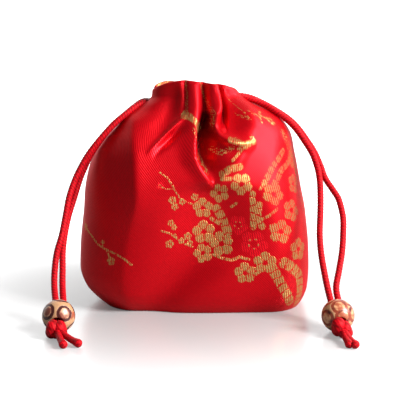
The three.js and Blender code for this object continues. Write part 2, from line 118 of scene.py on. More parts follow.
# A fold runs along its stations; at each one it has a place across, a rise and a width.
# It may lean sideways, be wider on its right by a factor, and darken the cloth that it tucks in with painted
# shade.
Fold = namedtuple("Fold", "name face along at rise width lean skew shade", defaults=[None, 1, 0])
DOWN_FOLDS = [
    Fold("left tuck", "front", [75, 77.5, 82, 90], [-5, -4.2, -3.8, -3.8], [0, -0.8, -1, -1],
         [1.3, 1.3, 1.2, 1.2]),
    Fold("left panel", "front", [72, 75.5, 82, 90], [-1, -0.4, 0.6, 0.6], [0, 0.5, 0.5, 0.4],
         [2.4, 2.2, 2, 2]),
    Fold("centre valley", "front", [70, 73, 76, 80, 90], [2, 3, 3.8, 3.8, 3.8],
         [0, -2.4, -4.2, -3.8, -3.4], [1.5, 1.6, 1.6, 1.4, 1.3], shade=0.6),
    Fold("pocket", "front", [50, 53, 55.5, 58.6, 62, 66, 70, 74, 78],
         [6.9, 5.6, 3.8, 1.8, 0.6, 0.6, 1.8, 3, 3.6],
         [0, -2, -4, -6, -7.8, -8.4, -7.4, -4.6, 0],
         [0.9, 1.1, 1.3, 1.4, 1.4, 1.4, 1.3, 1.1, 1], skew=5.2, shade=1),
    Fold("front valley", "front", [0, 6, 12, 18, 24, 36, 46, 52], [-17, -13, -8.5, -3, 2.5, 7, 7.8, 7.5],
         [-2.4, -3.2, -3.8, -4.4, -5, -5.6, -4.2, 0], [9.5, 10.5, 12, 14, 16, 16, 13, 9], skew=0.88),
    Fold("left lip", "front", [48.5, 54.5, 61, 67.5, 72, 76], [6.2, 3, -1.6, -2.2, -1.8, -1.5],
         [0, 1.4, 1.6, 1.4, 1, 0], [3, 2.6, 2.4, 2.3, 2.2, 2], [0, 1.8, 2.6, 2.6, 1.8, 0]),
    Fold("right lip", "front", [67, 69.5, 73, 76, 80, 84, 90], [9.4, 8, 6.8, 7.2, 8, 8, 7],
         [0, 2, 3.2, 3.4, 3, 2.2, 1.4], [2.6, 2.8, 3, 3, 2.8, 2.4, 2], [0, 0.2, 0.6, 1, 1.4, 1, 0.4]),
    Fold("right tuck", "front", [69.5, 72, 78, 84, 90], [11.4, 11.6, 12, 11.6, 10.4],
         [0, -3.2, -4.6, -3.8, -2.4], [1.3, 1.4, 1.4, 1.3, 1.2], shade=0.6),
    Fold("right pocket", "front", [66, 70, 75, 81, 88], [13.4, 14, 14.4, 14.4, 13.6],
         [0, -2.6, -3.6, -2.8, -1.2], [4, 4.6, 4.8, 4.4, 3.8]),
    Fold("shoulder ridge", "front", [68, 73, 78, 83, 88], [25, 22.8, 21, 19.2, 18],
         [0, 1, 1.2, 1, 0.4], [4, 3.4, 3, 2.6, 2.4]),
    Fold("left scoop", "front", [64, 70, 76, 82, 89], [-14, -12.2, -10.6, -9.2, -8],
         [0, -2.6, -3.8, -3, -0.6], [5, 6, 6, 5, 4]),
    Fold("right edge", "front", [0, 8, 20, 34, 46, 60, 74], [33, 34.5, 35, 33.5, 31.5, 31, 30.5],
         [2.4, 3, 3, 2.6, 2, 1, 0], [8, 9, 9.5, 9, 7.5, 5, 4]),
    Fold("back valley", "back", [54, 64, 76, 90], [-3.8, -3.2, -2.4, -2], [0, -3.2, -4, -3.4],
         [3, 3.4, 1.8, 1.3]),
    Fold("back left tuck", "back", [62, 70, 78, 90], [-15, -12, -9.4, -8.4], [0, -1.8, -3, -3],
         [2.8, 2.4, 1.5, 1.2]),
    Fold("back right tuck", "back", [58, 68, 77, 90], [9.4, 7.6, 6.2, 5.4], [0, -2.2, -3.2, -3],
         [3, 2.6, 1.6, 1.2]),
    Fold("back outer tuck", "back", [65, 72, 80, 90], [19, 15.5, 12.4, 11], [0, -1.5, -2.6, -2.6],
         [2.6, 2.2, 1.5, 1.2]),
    Fold("back left ridge", "back", [56, 70, 90], [-8.4, -6.6, -5.4], [0, 1.6, 1], [4, 2.8, 1.8]),
    Fold("back right ridge", "back", [54, 70, 90], [2.8, 2, 1.8], [0, 1.6, 1], [4, 2.8, 1.8]),
    Fold("back dent", "back", [22, 38, 52], [2, 4, 6], [0, -1.4, 0], [13, 15, 13]),
    Fold("back left edge", "back", [0, 20, 45, 68], [-29, -33, -31, -29], [1, 0.5, 0.7, 0], [4, 6, 5, 4]),
    Fold("back right edge", "back", [0, 20, 45, 68], [33, 34, 31, 29], [1, 0.5, 0.7, 0], [4, 6, 5, 4]),
    *(Fold(f"{side} slit", side, [68, 74, 80, 90], [0, 0, 0, 0], [0, -1.2, -2, -1.8], [3.4, 2.8, 2.2, 2])
      for side in SIDES),
    Fold("left side fold", "left", [4, 18, 38, 58, 74], [15, 13.5, 11.5, 10, 8],
         [0, -1.4, -2.2, -2, 0], [5, 5, 4.4, 3.6, 3]),
    Fold("right side fold", "right", [4, 18, 38, 58, 74], [13, 12.5, 12, 10.5, 8],
         [0, -1.6, -2.2, -1.8, 0], [5, 5.4, 4.8, 3.8, 3]),
]
CROSS_FOLDS = [
    Fold("right shelf", "front", [6.5, 9.6, 12.9, 17.3, 24], [71, 69.4, 67.8, 66.8, 66],
         [0, 2.6, 4, 3, 0], [1.6, 1.8, 2, 2.2, 2.4]),
    Fold("left shelf", "front", [-17.5, -9.2, -2.5], [62.8, 71, 77], [0, 2.2, 0], [1.2, 1.2, 1.2]),
    Fold("left groove", "front", [-15.5, -9.2, -3], [61.8, 67.6, 72.4], [0, -1.8, 0], [1.4, 1.5, 1.4]),
    Fold("right slope", "front", [6.8, 11.6, 17.2, 22], [49.5, 54.5, 60, 64.5], [0, 0.9, 0.9, 0],
         [3, 3, 3.4, 3.4]),
]
# A crease is a fold with a sharp tip and straight sides
CREASES = [
    Fold("left edge", "front", [0, 13.5, 30, 47, 63.5, 82], [-25.2, -27, -24.8, -21, -21.3, -21.6],
         [1.8, 1.6, 2, 3.8, 4.4, 2], [10, 11, 11, 8, 7, 5]),
]
CREASE_TIP = 1.0
FACES = {"front": (0, -1), "back": (0, 1), "left": (-1, 0), "right": (1, 0)}
FACE_EDGE = (0.15, 0.45)  # a fold fades in as the cloth turns towards its face

# The casing's oval tunnel, in which the cords run round the neck, and the mouth inside it
TUNNEL_MIDDLE_X = 0.8
TUNNEL_HALF_WIDTH = 15.0
TUNNEL_HALF_DEPTH = 8.6
TUNNEL_SIDE_Z = 79.6
TUNNEL_RISE = {"front": 3.6, "back": 1.4}
MOUTH_INSET = 3.3
MOUTH_TOP, MOUTH_FOOT = 3.4, -4.4  # above the tunnel's middle

# Rows of the pouch's grid: the last one below the hem's turn, the steps of that turn, and shares of the way
# between other rows
CROWDING = 0.38  # columns stand closer together at the front and back
HEM_ROW = 88.65
HEM_STEPS = 5
LINING_TOP = 69.0
LINING_ROWS = 30
BASE_SHARES = np.array([0, 0.35, 0.65, 0.85, 0.96])
LIP_SHARES = np.linspace(0, 1, 8)
MOUTH_SHARES = np.array([0.25, 0.5, 0.75, 1])
ROW_CROWDING = 0.1  # rows stand closer together low down
BASE_REACH = 20.0  # the flat cloth from the base's edge to its middle
CASING_REACH = 8.0  # the flat cloth across the casing

# The figures of the brocade on the flat cloth: across from the front's middle, up from the base, radius
GOLD_BLOSSOMS = np.array([
    [3.8, 43.3, 4.1], [3.8, 33.8, 4.6], [10.8, 29.3, 4.8], [3.4, 25.5, 3.7], [11.2, 49.2, 4.0],
    [20.2, 52.8, 4.5], [32.8, 48.7, 4.3], [40.0, 41.6, 4.3], [44.9, 51.2, 3.8], [33.5, 34.2, 4.6],
    [41.0, 26.2, 4.4], [27.0, 22.4, 4.3], [19.4, 18.5, 4.2], [48.0, 60.5, 3.6],
    [0.8, 47.7, 1.6], [-8.2, 47.0, 1.6], [-7.4, 44.4, 1.5], [-4.4, 46.1, 1.3], [-9.2, 38.0, 1.3],
    [-8.0, 36.2, 1.2], [-9.6, 29.7, 1.7], [-2.6, 32.3, 1.6], [-5.0, 30.7, 1.3], [-1.8, 29.6, 1.3],
    [42.6, 77.4, 2.2], [-32.2, 22.5, 1.8], [-47.7, 33.6, 1.5], [-36.4, 29.5, 0.9], [23.3, 19.1, 1.9],
])
TONAL_BLOSSOMS = np.array([[17.8, 36.7, 3.8], [23.1, 29.7, 5.2], [45.8, 69.9, 3.0], [-13.3, 52.6, 1.5]])

# Twigs, trunks and leaves: half width and the points each one passes
Twig = namedtuple("Twig", "name half_width points")
TWIGS = [
    Twig("branch", 2.0, [(9.4, 43.0), (11.6, 39.1), (13.5, 34.1)]),
    Twig("branch stub", 0.9, [(7.0, 38.9), (11.6, 36.4)]),
    Twig("far branch", 1.3, [(24.7, 49.1), (24.1, 42.6), (23.5, 36.0)]),
    Twig("far branch fork", 1.4, [(26.7, 44.8), (25.5, 40.2), (26.8, 36.3)]),
    Twig("vine", 0.6, [(26.8, 39.1), (29.6, 40.4), (33.5, 43.1)]),
    Twig("upper vine", 0.7, [(27.8, 50.8), (31.9, 55.3)]),
    Twig("side shoot", 0.6, [(15.7, 43.7), (18.0, 45.2)]),
    Twig("trunk", 2.1, [(29.4, 20.3), (32.6, 13.2), (36.8, 5.0)]),
    Twig("second trunk", 2.3, [(33.9, 22.1), (38.0, 19.0), (41.0, 15.5), (41.2, 10.4), (41.8, 3.0)]),
    Twig("bud row", 0.6, [(7.6, 25.1), (10.6, 24.0), (14.5, 23.3), (17.6, 24.6), (21.0, 23.7)]),
    Twig("left twig", 0.5, [(-53.3, 37.3), (-46.7, 32.9), (-43.2, 31.3), (-38.8, 28.3), (-35.7, 27.1),
                             (-30.9, 25.8), (-27.0, 24.2), (-23.9, 21.7)]),
    Twig("left fork", 0.5, [(-36.3, 27.5), (-36.4, 29.5)]),
    Twig("left lower fork", 0.5, [(-34.3, 26.6), (-32.2, 22.5)]),
    Twig("upper twig", 0.4, [(-14.1, 57.8), (-10.8, 55.9), (-8.6, 53.3), (-6.8, 50.3), (-5.2, 47.7),
                             (-2.8, 46.1), (-0.4, 45.0)]),
    Twig("upper fork", 0.35, [(-13.1, 52.5), (-10.8, 51.5), (-7.6, 51.5)]),
    Twig("low twig", 0.45, [(-12.9, 35.1), (-9.4, 33.8), (-7.0, 31.9), (-4.8, 30.0), (-0.8, 28.0)]),
    Twig("low fork", 0.4, [(-7.8, 33.8), (-6.6, 31.5)]),
    Twig("neck leaf", 2.0, [(-13.0, 81.6), (-8.5, 80.6), (-4.6, 78.0), (-2.6, 74.6)]),
    Twig("shelf leaf", 1.3, [(14.3, 70.5), (20.2, 68.7), (27.0, 69.2)]),
    Twig("shelf underleaf", 0.8, [(18.8, 66.7), (24.3, 68.1)]),
    Twig("shelf twig", 0.7, [(20.6, 66.3), (18.6, 63.9), (16.7, 62.0)]),
    Twig("valley leaf", 1.6, [(12.2, 56.6), (15.3, 58.7), (19.8, 59.6)]),
    Twig("valley underleaf", 0.9, [(12.1, 55.0), (16.3, 55.1)]),
    Twig("right twig", 0.55, [(35.2, 77.2), (37.2, 79.8), (40.0, 81.8), (43.2, 82.8)]),
    Twig("right fork", 0.8, [(38.8, 81.0), (40.6, 79.4), (42.0, 78.4)]),
    Twig("shoulder branch", 1.3, [(29.8, 53.0), (34.3, 59.0), (41.8, 64.6)]),
    Twig("shoulder fork", 1.3, [(32.2, 50.7), (38.0, 57.1), (46.5, 60.8)]),
    Twig("edge branch", 1.5, [(49.7, 64.5), (49.8, 58.3), (50.6, 52.2)]),
    Twig("low edge branch", 1.0, [(51.2, 46.1), (50.9, 39.4)]),
    Twig("hem lining", 1.4, [(-70.0, 98.2), (-84.0, 99.4), (-104.0, 98.6)]),
]
# Loose gold threads, sparse where the weave hides most of them
GLITTER = [
    Twig("neck dots", 1.4, [(-10.4, 97.0), (-10.6, 90.0), (-11.4, 83.0)]),
    Twig("panel dots", 1.6, [(6.4, 97.0), (6.2, 90.0), (5.0, 83.0), (4.2, 77.0)]),
    Twig("lip shoot", 0.8, [(-7.6, 75.2), (-4.0, 71.0), (-1.0, 66.7)]),
    Twig("lip leaf", 1.6, [(-0.4, 63.8), (2.2, 60.7), (4.2, 57.9)]),
    Twig("valley dots", 1.4, [(7.0, 66.0), (12.0, 65.0), (16.0, 67.0)]),
    Twig("pocket stem", 0.6, [(33.0, 91.0), (31.0, 86.0), (29.0, 80.0)]),
    Twig("pocket dots", 1.2, [(24.0, 81.3), (29.0, 79.5)]),
    Twig("shoulder dots", 1.2, [(34.0, 83.0), (36.5, 81.0)]),
    Twig("shelf dots", 1.6, [(17.0, 70.0), (22.0, 67.6), (26.0, 70.6)]),
    Twig("edge bloom", 2.6, [(46.0, 71.0), (47.5, 66.0)]),
]
REPEATS = 2  # the figures come this often round the cloth
FIGURE_TURN = 2.4  # each blossom is turned by this much more than the one before it
FAR_OFF = 9.0  # place on a figure's map that is outside the figure

# Steps of the tables from which lengths are read, and of a curve between two of its points
FINE_ANGLES = 4001
FINE_LEVELS = 901
CURVE_STEPS = 40

# The cords

# Each strand from the slit in the casing down to the back of its bead, in metres
STRANDS = {
    ("left", "front"): [
        (-0.0139, -0.0033, 0.0787), (-0.0169, -0.0029, 0.0793), (-0.0201, -0.0041, 0.0796),
        (-0.0232, -0.0064, 0.0780), (-0.0267, -0.0086, 0.0756), (-0.0317, -0.0110, 0.0714),
        (-0.0367, -0.0130, 0.0660), (-0.0410, -0.0145, 0.0605), (-0.0439, -0.0158, 0.0556),
        (-0.0460, -0.0174, 0.0512), (-0.0481, -0.0205, 0.0448), (-0.0492, -0.0236, 0.0384),
        (-0.0505, -0.0272, 0.0313), (-0.0521, -0.0296, 0.0256), (-0.0528, -0.0324, 0.0193),
        (-0.0528, -0.0350, 0.0141), (-0.0517, -0.0408, 0.0091),
    ],
    ("left", "rear"): [
        (-0.0140, 0.0035, 0.0787), (-0.0171, 0.0017, 0.0794), (-0.0203, -0.0009, 0.0797),
        (-0.0236, -0.0036, 0.0778), (-0.0269, -0.0056, 0.0752), (-0.0320, -0.0080, 0.0710),
        (-0.0366, -0.0100, 0.0655), (-0.0403, -0.0114, 0.0600), (-0.0427, -0.0122, 0.0550),
        (-0.0445, -0.0136, 0.0506), (-0.0465, -0.0166, 0.0440), (-0.0484, -0.0202, 0.0377),
        (-0.0497, -0.0244, 0.0307), (-0.0502, -0.0274, 0.0251), (-0.0500, -0.0310, 0.0190),
        (-0.0498, -0.0342, 0.0139), (-0.0489, -0.0407, 0.0092),
    ],
    ("right", "front"): [
        (0.0138, -0.0044, 0.0817), (0.0178, -0.0026, 0.0818), (0.0218, -0.0019, 0.0809),
        (0.0264, -0.0020, 0.0790), (0.0314, -0.0038, 0.0763), (0.0360, -0.0054, 0.0732),
        (0.0395, -0.0072, 0.0699), (0.0430, -0.0098, 0.0651), (0.0458, -0.0124, 0.0606),
        (0.0476, -0.0150, 0.0555), (0.0483, -0.0174, 0.0512), (0.0484, -0.0210, 0.0449),
        (0.0481, -0.0245, 0.0385), (0.0477, -0.0278, 0.0322), (0.0480, -0.0310, 0.0260),
        (0.0489, -0.0344, 0.0198), (0.0501, -0.0376, 0.0136), (0.0512, -0.0402, 0.0091),
    ],
    ("right", "rear"): [
        (0.0136, 0.0046, 0.0813), (0.0174, 0.0027, 0.0816), (0.0216, 0.0019, 0.0810),
        (0.0266, 0.0014, 0.0790), (0.0318, -0.0006, 0.0763), (0.0366, -0.0022, 0.0733),
        (0.0402, -0.0040, 0.0701), (0.0439, -0.0068, 0.0653), (0.0469, -0.0094, 0.0607),
        (0.0489, -0.0122, 0.0562), (0.0507, -0.0152, 0.0514), (0.0533, -0.0170, 0.0476),
        (0.0554, -0.0186, 0.0444), (0.0564, -0.0202, 0.0412), (0.0571, -0.0222, 0.0373),
        (0.0569, -0.0254, 0.0317), (0.0562, -0.0290, 0.0255), (0.0548, -0.0330, 0.0195),
        (0.0534, -0.0368, 0.0134), (0.0540, -0.0401, 0.0092),
    ],
}
CORD_STACK = {"left": -0.00125, "right": 0.00125}  # the right cord runs above the left one in the casing
RING_ANGLES = {
    "left": (230, 250, 270, 295, 320, 340, 360, 380, 400, 425, 450, 470, 490),
    "right": (310, 290, 270, 245, 220, 200, 180, 160, 140, 115, 90, 70, 50),
}
HOLE_SLOPE = 0.29  # fall of a bead's hole for each metre forwards
HOLE_YAW = {"left": -0.01, "right": 0.06}
STRAND_OFFSET = 0.0013  # from the bead's axis to each strand in its hole
STRAND_SIDE = {"front": -1, "rear": 1}  # to which side of the axis
STRAND_REACH = (-0.95, 0, 1.3)  # along the hole, in half diameters of the bead
CORD_COLUMNS = 16
CORD_RIB = (1.06, 0.06)  # mean and swing of the radius, in half diameters
RIB_STEPS = 4  # rows of the grid to a rib
KNOT_REACH = 0.0085  # from a bead's middle to the middle of its knot
KNOT_COLUMNS = 24
KNOT_STEPS = 120
KNOT_RIB = (0.985, 0.015)
KNOT_GAP = 0.00015  # between the knot and the floor
# The knot's lobes: place across and up from its middle, roll in degrees, half sizes of the ring, thickness
Lobe = namedtuple("Lobe", "across up roll half_length half_height thickness")
KNOT_LOBES = {
    "left": [
        Lobe(-0.0015, 0.0002, -10, 0.0010, 0.0014, 0.0045),
        Lobe(0.0015, 0.0005, 12, 0.0010, 0.0014, 0.0044),
        Lobe(0.0001, 0.0009, 0, 0.0009, 0.0011, 0.0041),
    ],
    "right": [
        Lobe(-0.0013, -0.0006, -4, 0.0010, 0.0014, 0.0045),
        Lobe(0.0017, 0.0007, 22, 0.0010, 0.0013, 0.0042),
        Lobe(0.0005, 0.0008, 8, 0.0009, 0.0011, 0.0041),
    ],
}
TAIL_ENDS = {
    "left": [(-0.0457, -0.0710, 0.0015), (-0.0400, -0.0694, 0.0015)],
    "right": [(0.0574, -0.0712, 0.0015), (0.0551, -0.0706, 0.0015)],
}
TAIL_BEND = 0.55  # the share of its way at which a tail has come down
TAIL_ARCH = 0.0005
TAIL_RIB = (0.985, 0.02)
TAIL_GAP = 0.0001  # between a tail and the floor
# A tail's radius in half diameters, the melted bulb at its end (swell, place and reach along it) and its tip
TAIL_RADIUS = 1.08
BULB_SWELL, BULB_AT, BULB_REACH = 0.3, 0.92, 0.14
TIP_REACH, TIP_LEAST = 0.07, 0.02

# The beads

BEAD_COLUMNS = 84
BEAD_ROWS = 56
BEAD_RIM = 0.00045  # rounding at the ends of the hole
BEAD_RIM_STEPS = 5

# Middles of the burnt rings on each bead, as directions from its middle: right, back, up
BURNT_RINGS = {
    "left": np.array([[-0.63, -0.62, 0.46], [0.45, -0.80, 0.39], [0.15, 0.28, 0.95], [0.68, -0.15, -0.72],
                      [-0.72, -0.20, -0.66], [-0.78, 0.50, 0.37], [0.86, 0.38, 0.33], [0.05, 0.93, 0.36],
                      [0.1, 0.55, -0.83]]),
    "right": np.array([[-0.77, -0.64, 0.03], [0.0, -0.62, 0.78], [0.24, -0.94, 0.22], [0.89, -0.40, 0.20],
                       [0.50, 0.10, 0.86], [-0.55, 0.25, 0.80], [-0.86, 0.42, -0.28], [0.80, 0.58, 0.12],
                       [0.0, 0.98, 0.2], [0.1, 0.3, -0.95]]),
}

RING_REFERENCE = (0.1, 0.2, 1.0)  # each ring's first axis is square to this direction
RING_EDGE = 0.1  # cosine beyond which the bead has turned away from a ring

STAIN = (0.24, 0.04, 0.018)  # red-brown stain in the wood
# Values of the wood's noise between which a ring's line goes from a red stain to a full burn
RING_WEAR = {"left": (0.2, 0.3), "right": (0.5, 0.68)}
# Inside of the burnt rings: ground and streaks
RING_CORES = {
    "left": ((0.52, 0.27, 0.16), (0.20, 0.05, 0.03)),
    "right": ((0.55, 0.27, 0.13), (0.30, 0.07, 0.03)),
}

# A blossom in its own frame: a petal's middle and edge, the gaps between petals, the red heart, the stamens
PETAL_MIDDLE, PETAL_EDGE = 0.58, (0.44, 0.40)
PETAL_GAP = (0.015, 0.05)
HEART_EDGE = (0.2, 0.26)
STAMEN_DOT, STAMEN_INNER, STAMEN_OUTER = (0.2, 0.6), (0.30, 0.33), (0.42, 0.38)

# The weaves: pitch of the threads in metres, and their slant
TWILL = (0.0009, 0.9)
FLOATS = (0.00085, 0.12)
CORD_THREADS = (0.0006, 0.8)
# How far the weave frays each figure, in the figure's own measure
FRAY = {"gold_blossom": 0.22, "tonal_blossom": 0.15, "twig": 0.45, "glitter": 0.6}
KNUCKLE = 3.1  # length of a twig between its gaps, in millimetres
# Where the gold is darkened as painted shade: right of a repeat's middle, above the base and below the
# shoulder, in metres
SHADED_GOLD_SIDE = (0.026, 0.034)
SHADED_GOLD_FOOT = (0.016, 0.042)
SHADED_GOLD_TOP = (0.074, 0.066)

# The stage

BACKDROP_HALF_WIDTH, BACKDROP_BACK, BACKDROP_HEIGHT = 2.5, 1.1, 1.6
LIGHT_TARGET = (0, 0, 0.045)
KEY_PLACE, KEY_SIZE = (0.63, -0.34, 0.50), (0.35, 0.35)
STRIP_PLACE, STRIP_SIZE = (0.6, 0.0, 0.2), (0.15, 0.6)
STRIP_SHARE = 0.03  # of the key light's power
SKY_SEEN = 1.05  # strength of the sky for the camera
CAMERA_AIM = np.array([0.0022, 0, 0.04])
CAMERA_AWAY = 0.52
SENSOR = 36


class PouchSettings(bpy.types.PropertyGroup):
    """Sizes and colours of the brocade pouch."""

    cloth: bpy.props.FloatProperty(
        name="Cloth thickness", description="Brocade with its lining", default=0.0008, unit="LENGTH",
        precision=5)
    hem_edge: bpy.props.FloatProperty(
        name="Hem thickness", description="Folded hem at its top", default=0.0013, unit="LENGTH", precision=5)
    columns: bpy.props.IntProperty(
        name="Columns", description="Grid steps round the pouch", default=480, min=40)
    rows: bpy.props.IntProperty(
        name="Rows", description="Grid steps from the base to the hem", default=150, min=30)
    satin: bpy.props.FloatVectorProperty(
        name="Satin", description="Ground of the brocade", subtype="COLOR", default=(0.56, 0.001, 0.006))
    gold: bpy.props.FloatVectorProperty(
        name="Gold", description="Gold thread", subtype="COLOR", default=(0.54, 0.31, 0.10))
    # Painted shade: the darker satin that is blended in where the folds mark deep tucks.
    tuck: bpy.props.FloatVectorProperty(
        name="Tuck", description="Satin deep in a tuck", subtype="COLOR", default=(0.10, 0.0, 0.001))
    # Painted shade: a darker brown-gold for the right-hand figures, standing in for gold that is out of the
    # light.
    shaded_gold: bpy.props.FloatVectorProperty(
        name="Copper", description="Gold thread of the sparser figures", subtype="COLOR",
        default=(0.26, 0.12, 0.042))
    tonal: bpy.props.FloatVectorProperty(
        name="Tonal red", description="Red thread of the tonal blossoms", subtype="COLOR",
        default=(0.82, 0.005, 0.014))


class CordSettings(bpy.types.PropertyGroup):
    """Sizes and colours of the drawcords and their knots."""

    diameter: bpy.props.FloatProperty(
        name="Diameter", description="Thickness of the cord", default=0.0023, unit="LENGTH", precision=5)
    rib: bpy.props.FloatProperty(
        name="Rib", description="Length of one rib of the braid", default=0.0012, unit="LENGTH", precision=5)
    colour: bpy.props.FloatVectorProperty(
        name="Cord red", description="Thread of the cord", subtype="COLOR", default=(0.52, 0.002, 0.008))


class BeadSettings(bpy.types.PropertyGroup):
    """Sizes and colours of the wooden beads."""

    diameter: bpy.props.FloatProperty(
        name="Diameter", description="Diameter of a bead", default=0.0122, unit="LENGTH", precision=5)
    hole: bpy.props.FloatProperty(
        name="Hole", description="Diameter of the drilled hole", default=0.0049, unit="LENGTH", precision=5)
    ring: bpy.props.FloatProperty(
        name="Ring", description="Radius of a burnt ring", default=0.0025, unit="LENGTH", precision=5)
    wood: bpy.props.FloatVectorProperty(
        name="Wood", description="Varnished wood", subtype="COLOR", default=(0.47, 0.25, 0.125))
    burn: bpy.props.FloatVectorProperty(
        name="Burn", description="Burnt line", subtype="COLOR", default=(0.05, 0.007, 0.005))


class StageSettings(bpy.types.PropertyGroup):
    """Floor, lights and camera."""

    floor: bpy.props.FloatProperty(
        name="Floor", description="Width of the floor", default=6.0, unit="LENGTH")
    key: bpy.props.FloatProperty(
        name="Key light", description="Power of the light at the right", default=21.0, unit="POWER")
    fill: bpy.props.FloatProperty(
        name="Sky", description="Strength of the soft light all round", default=0.24)
    lens: bpy.props.FloatProperty(
        name="Lens", description="Focal length", default=117.0, unit="CAMERA")
    elevation: bpy.props.FloatProperty(
        name="Elevation", description="How far the camera looks down", default=np.radians(11),
        subtype="ANGLE")


# Surfaces


def smooth_table(xs, ys, x):
    """Monotone cubic through a table's points, held level beyond its ends.

    Each tangent is the weighted harmonic mean of the slopes beside it, or 0 where they differ in sign.
    """
    xs, ys = np.asarray(xs, float), np.asarray(ys, float)
    x = np.clip(x, xs[0], xs[-1])
    step = np.diff(xs)
    slope = np.diff(ys) / step
    tangent = np.empty_like(ys)
    tangent[0], tangent[-1] = slope[0], slope[-1]
    before, after = slope[:-1], slope[1:]
    same = before * after > 0
    weight_before, weight_after = 2 * step[1:] + step[:-1], step[1:] + 2 * step[:-1]
    sums = weight_before / np.where(same, before, 1) + weight_after / np.where(same, after, 1)
    tangent[1:-1] = np.where(same, (weight_before + weight_after) / sums, 0)
    i = np.clip(np.searchsorted(xs, x, side="right") - 1, 0, len(step) - 1)
    t = (x - xs[i]) / step[i]
    rest = 1 - t
    return ((1 + 2 * t) * rest**2 * ys[i] + t * rest**2 * step[i] * tangent[i]
            + t**2 * (3 - 2 * t) * ys[i + 1] - t**2 * rest * step[i] * tangent[i + 1])


def ease(x, low, high):
    """Smooth step from 0 at low to 1 at high."""
    t = np.clip((x - low) / (high - low), 0, 1)
    return t * t * (3 - 2 * t)


def run_along(line):
    """Length along a line from its first point to each of its points."""
    return np.concatenate([[0], np.cumsum(np.linalg.norm(np.diff(line, axis=0), axis=1))])


def unfolded(angle, level):
    """Place and outward normal on a level's superellipse before any fold, in millimetres."""
    half_width, half_depth, squareness, middle = (
        smooth_table(SECTIONS[:, 0], SECTIONS[:, k], level) for k in (1, 2, 3, 4))
    c, s = np.cos(angle), np.sin(angle)
    reach = (np.abs(c) ** squareness + np.abs(s) ** squareness) ** (-1 / squareness)
    slope_x = np.sign(c) * np.abs(c * reach) ** (squareness - 1) / half_width
    slope_y = np.sign(s) * np.abs(s * reach) ** (squareness - 1) / half_depth
    length = np.hypot(slope_x, slope_y)
    return middle + half_width * c * reach, half_depth * s * reach, slope_x / length, slope_y / length


def fold_sums(angle, level):
    """Sums of all folds' rises, leans and painted shades: each is a bell across the fold's line on its own
    face.

    A crease is a tent with a rounded tip instead of a bell.
    """
    x, y, normal_x, normal_y = unfolded(angle, level)
    rise, lean, shade = (np.zeros_like(x) for _ in range(3))
    tables = ((DOWN_FOLDS, True, False), (CROSS_FOLDS, False, False), (CREASES, True, True))
    for folds, runs_down, sharp in tables:
        for fold in folds:
            out = FACES[fold.face]
            share = ease(normal_x * out[0] + normal_y * out[1], *FACE_EDGE)
            across = x if out[0] == 0 else y
            along, beside = (level, across) if runs_down else (across, level)
            outside = (along < fold.along[0]) & (fold.along[0] > 0 or not runs_down)
            outside |= (along > fold.along[-1]) & (not runs_down)
            offset = beside - smooth_table(fold.along, fold.at, along)
            width = smooth_table(fold.along, fold.width, along) * np.where(offset > 0, fold.skew, 1)
            tent = (np.hypot(offset, CREASE_TIP) - CREASE_TIP) / width
            bell = np.where(outside, 0, share * np.exp(-tent if sharp else -(offset / width) ** 2))
            height = smooth_table(fold.along, fold.rise, along)
            rise += height * bell
            if fold.shade:
                shade += fold.shade * bell * height / min(fold.rise)
            if fold.lean:
                lean += smooth_table(fold.along, fold.lean, along) * bell
    return rise, lean, shade


def cloth_point(angle, level, inset=0.0):
    """Point of the cloth in millimetres: its unfolded place moved along the normal and sideways by the folds.

    The inset moves it inwards, and above the casing's foot the levels are stretched to the hem's height.
    """
    x, y, normal_x, normal_y = unfolded(angle, level)
    rise, lean, _ = fold_sums(angle, level)
    rise = rise - inset
    hem = smooth_table(HEM[:, 0], HEM[:, 1], np.degrees(angle) % 360)
    stretched = CASING_FOOT + (level - CASING_FOOT) * (hem - CASING_FOOT) / (HEM_LEVEL - CASING_FOOT)
    z = np.where(level > CASING_FOOT, stretched, level) + np.zeros_like(x)
    return np.stack([x + normal_x * rise - normal_y * lean, y + normal_y * rise + normal_x * lean, z], -1)


def tunnel_point(angle, inset=0.0, above=0.0):
    """Point of the casing's oval ring in millimetres: an ellipse that rises with the square of its sine."""
    c, s = np.cos(angle), np.sin(angle)
    rise = np.where(s < 0, TUNNEL_RISE["front"], TUNNEL_RISE["back"]) * s**2
    return np.stack([
        TUNNEL_MIDDLE_X + (TUNNEL_HALF_WIDTH - inset) * c,
        (TUNNEL_HALF_DEPTH - inset) * s,
        TUNNEL_SIDE_Z + rise + above,
    ], -1)


def curve_through(points, spacing):
    """Centripetal Catmull-Rom curve through the points, resampled at even steps of about the spacing."""
    p = np.asarray(points, float)
    p = np.vstack([2 * p[0] - p[1], p, 2 * p[-1] - p[-2]])
    knots = np.concatenate([[0], np.cumsum(np.sqrt(np.linalg.norm(np.diff(p, axis=0), axis=1)))])
    i = np.repeat(np.arange(1, len(p) - 2), CURVE_STEPS)
    share = np.tile(np.arange(CURVE_STEPS) / CURVE_STEPS, len(p) - 3)
    t = (knots[i] + share * (knots[i + 1] - knots[i]))[:, None]

    def between(a, b, start, end):
        """Straight line from a at the start to b at the end."""
        return ((end - t) * a + (t - start) * b) / (end - start)

    k = [knots[i + step][:, None] for step in (-1, 0, 1, 2)]
    first = [between(p[i + n - 1], p[i + n], k[n], k[n + 1]) for n in range(3)]
    second = [between(first[n], first[n + 1], k[n], k[n + 2]) for n in range(2)]
    line = np.vstack([between(second[0], second[1], k[1], k[2]), p[-2]])
    length = run_along(line)
    even = np.linspace(0, length[-1], max(4, int(np.ceil(length[-1] / spacing)) + 1))
    return np.stack([np.interp(even, length, line[:, axis]) for axis in range(3)], -1)


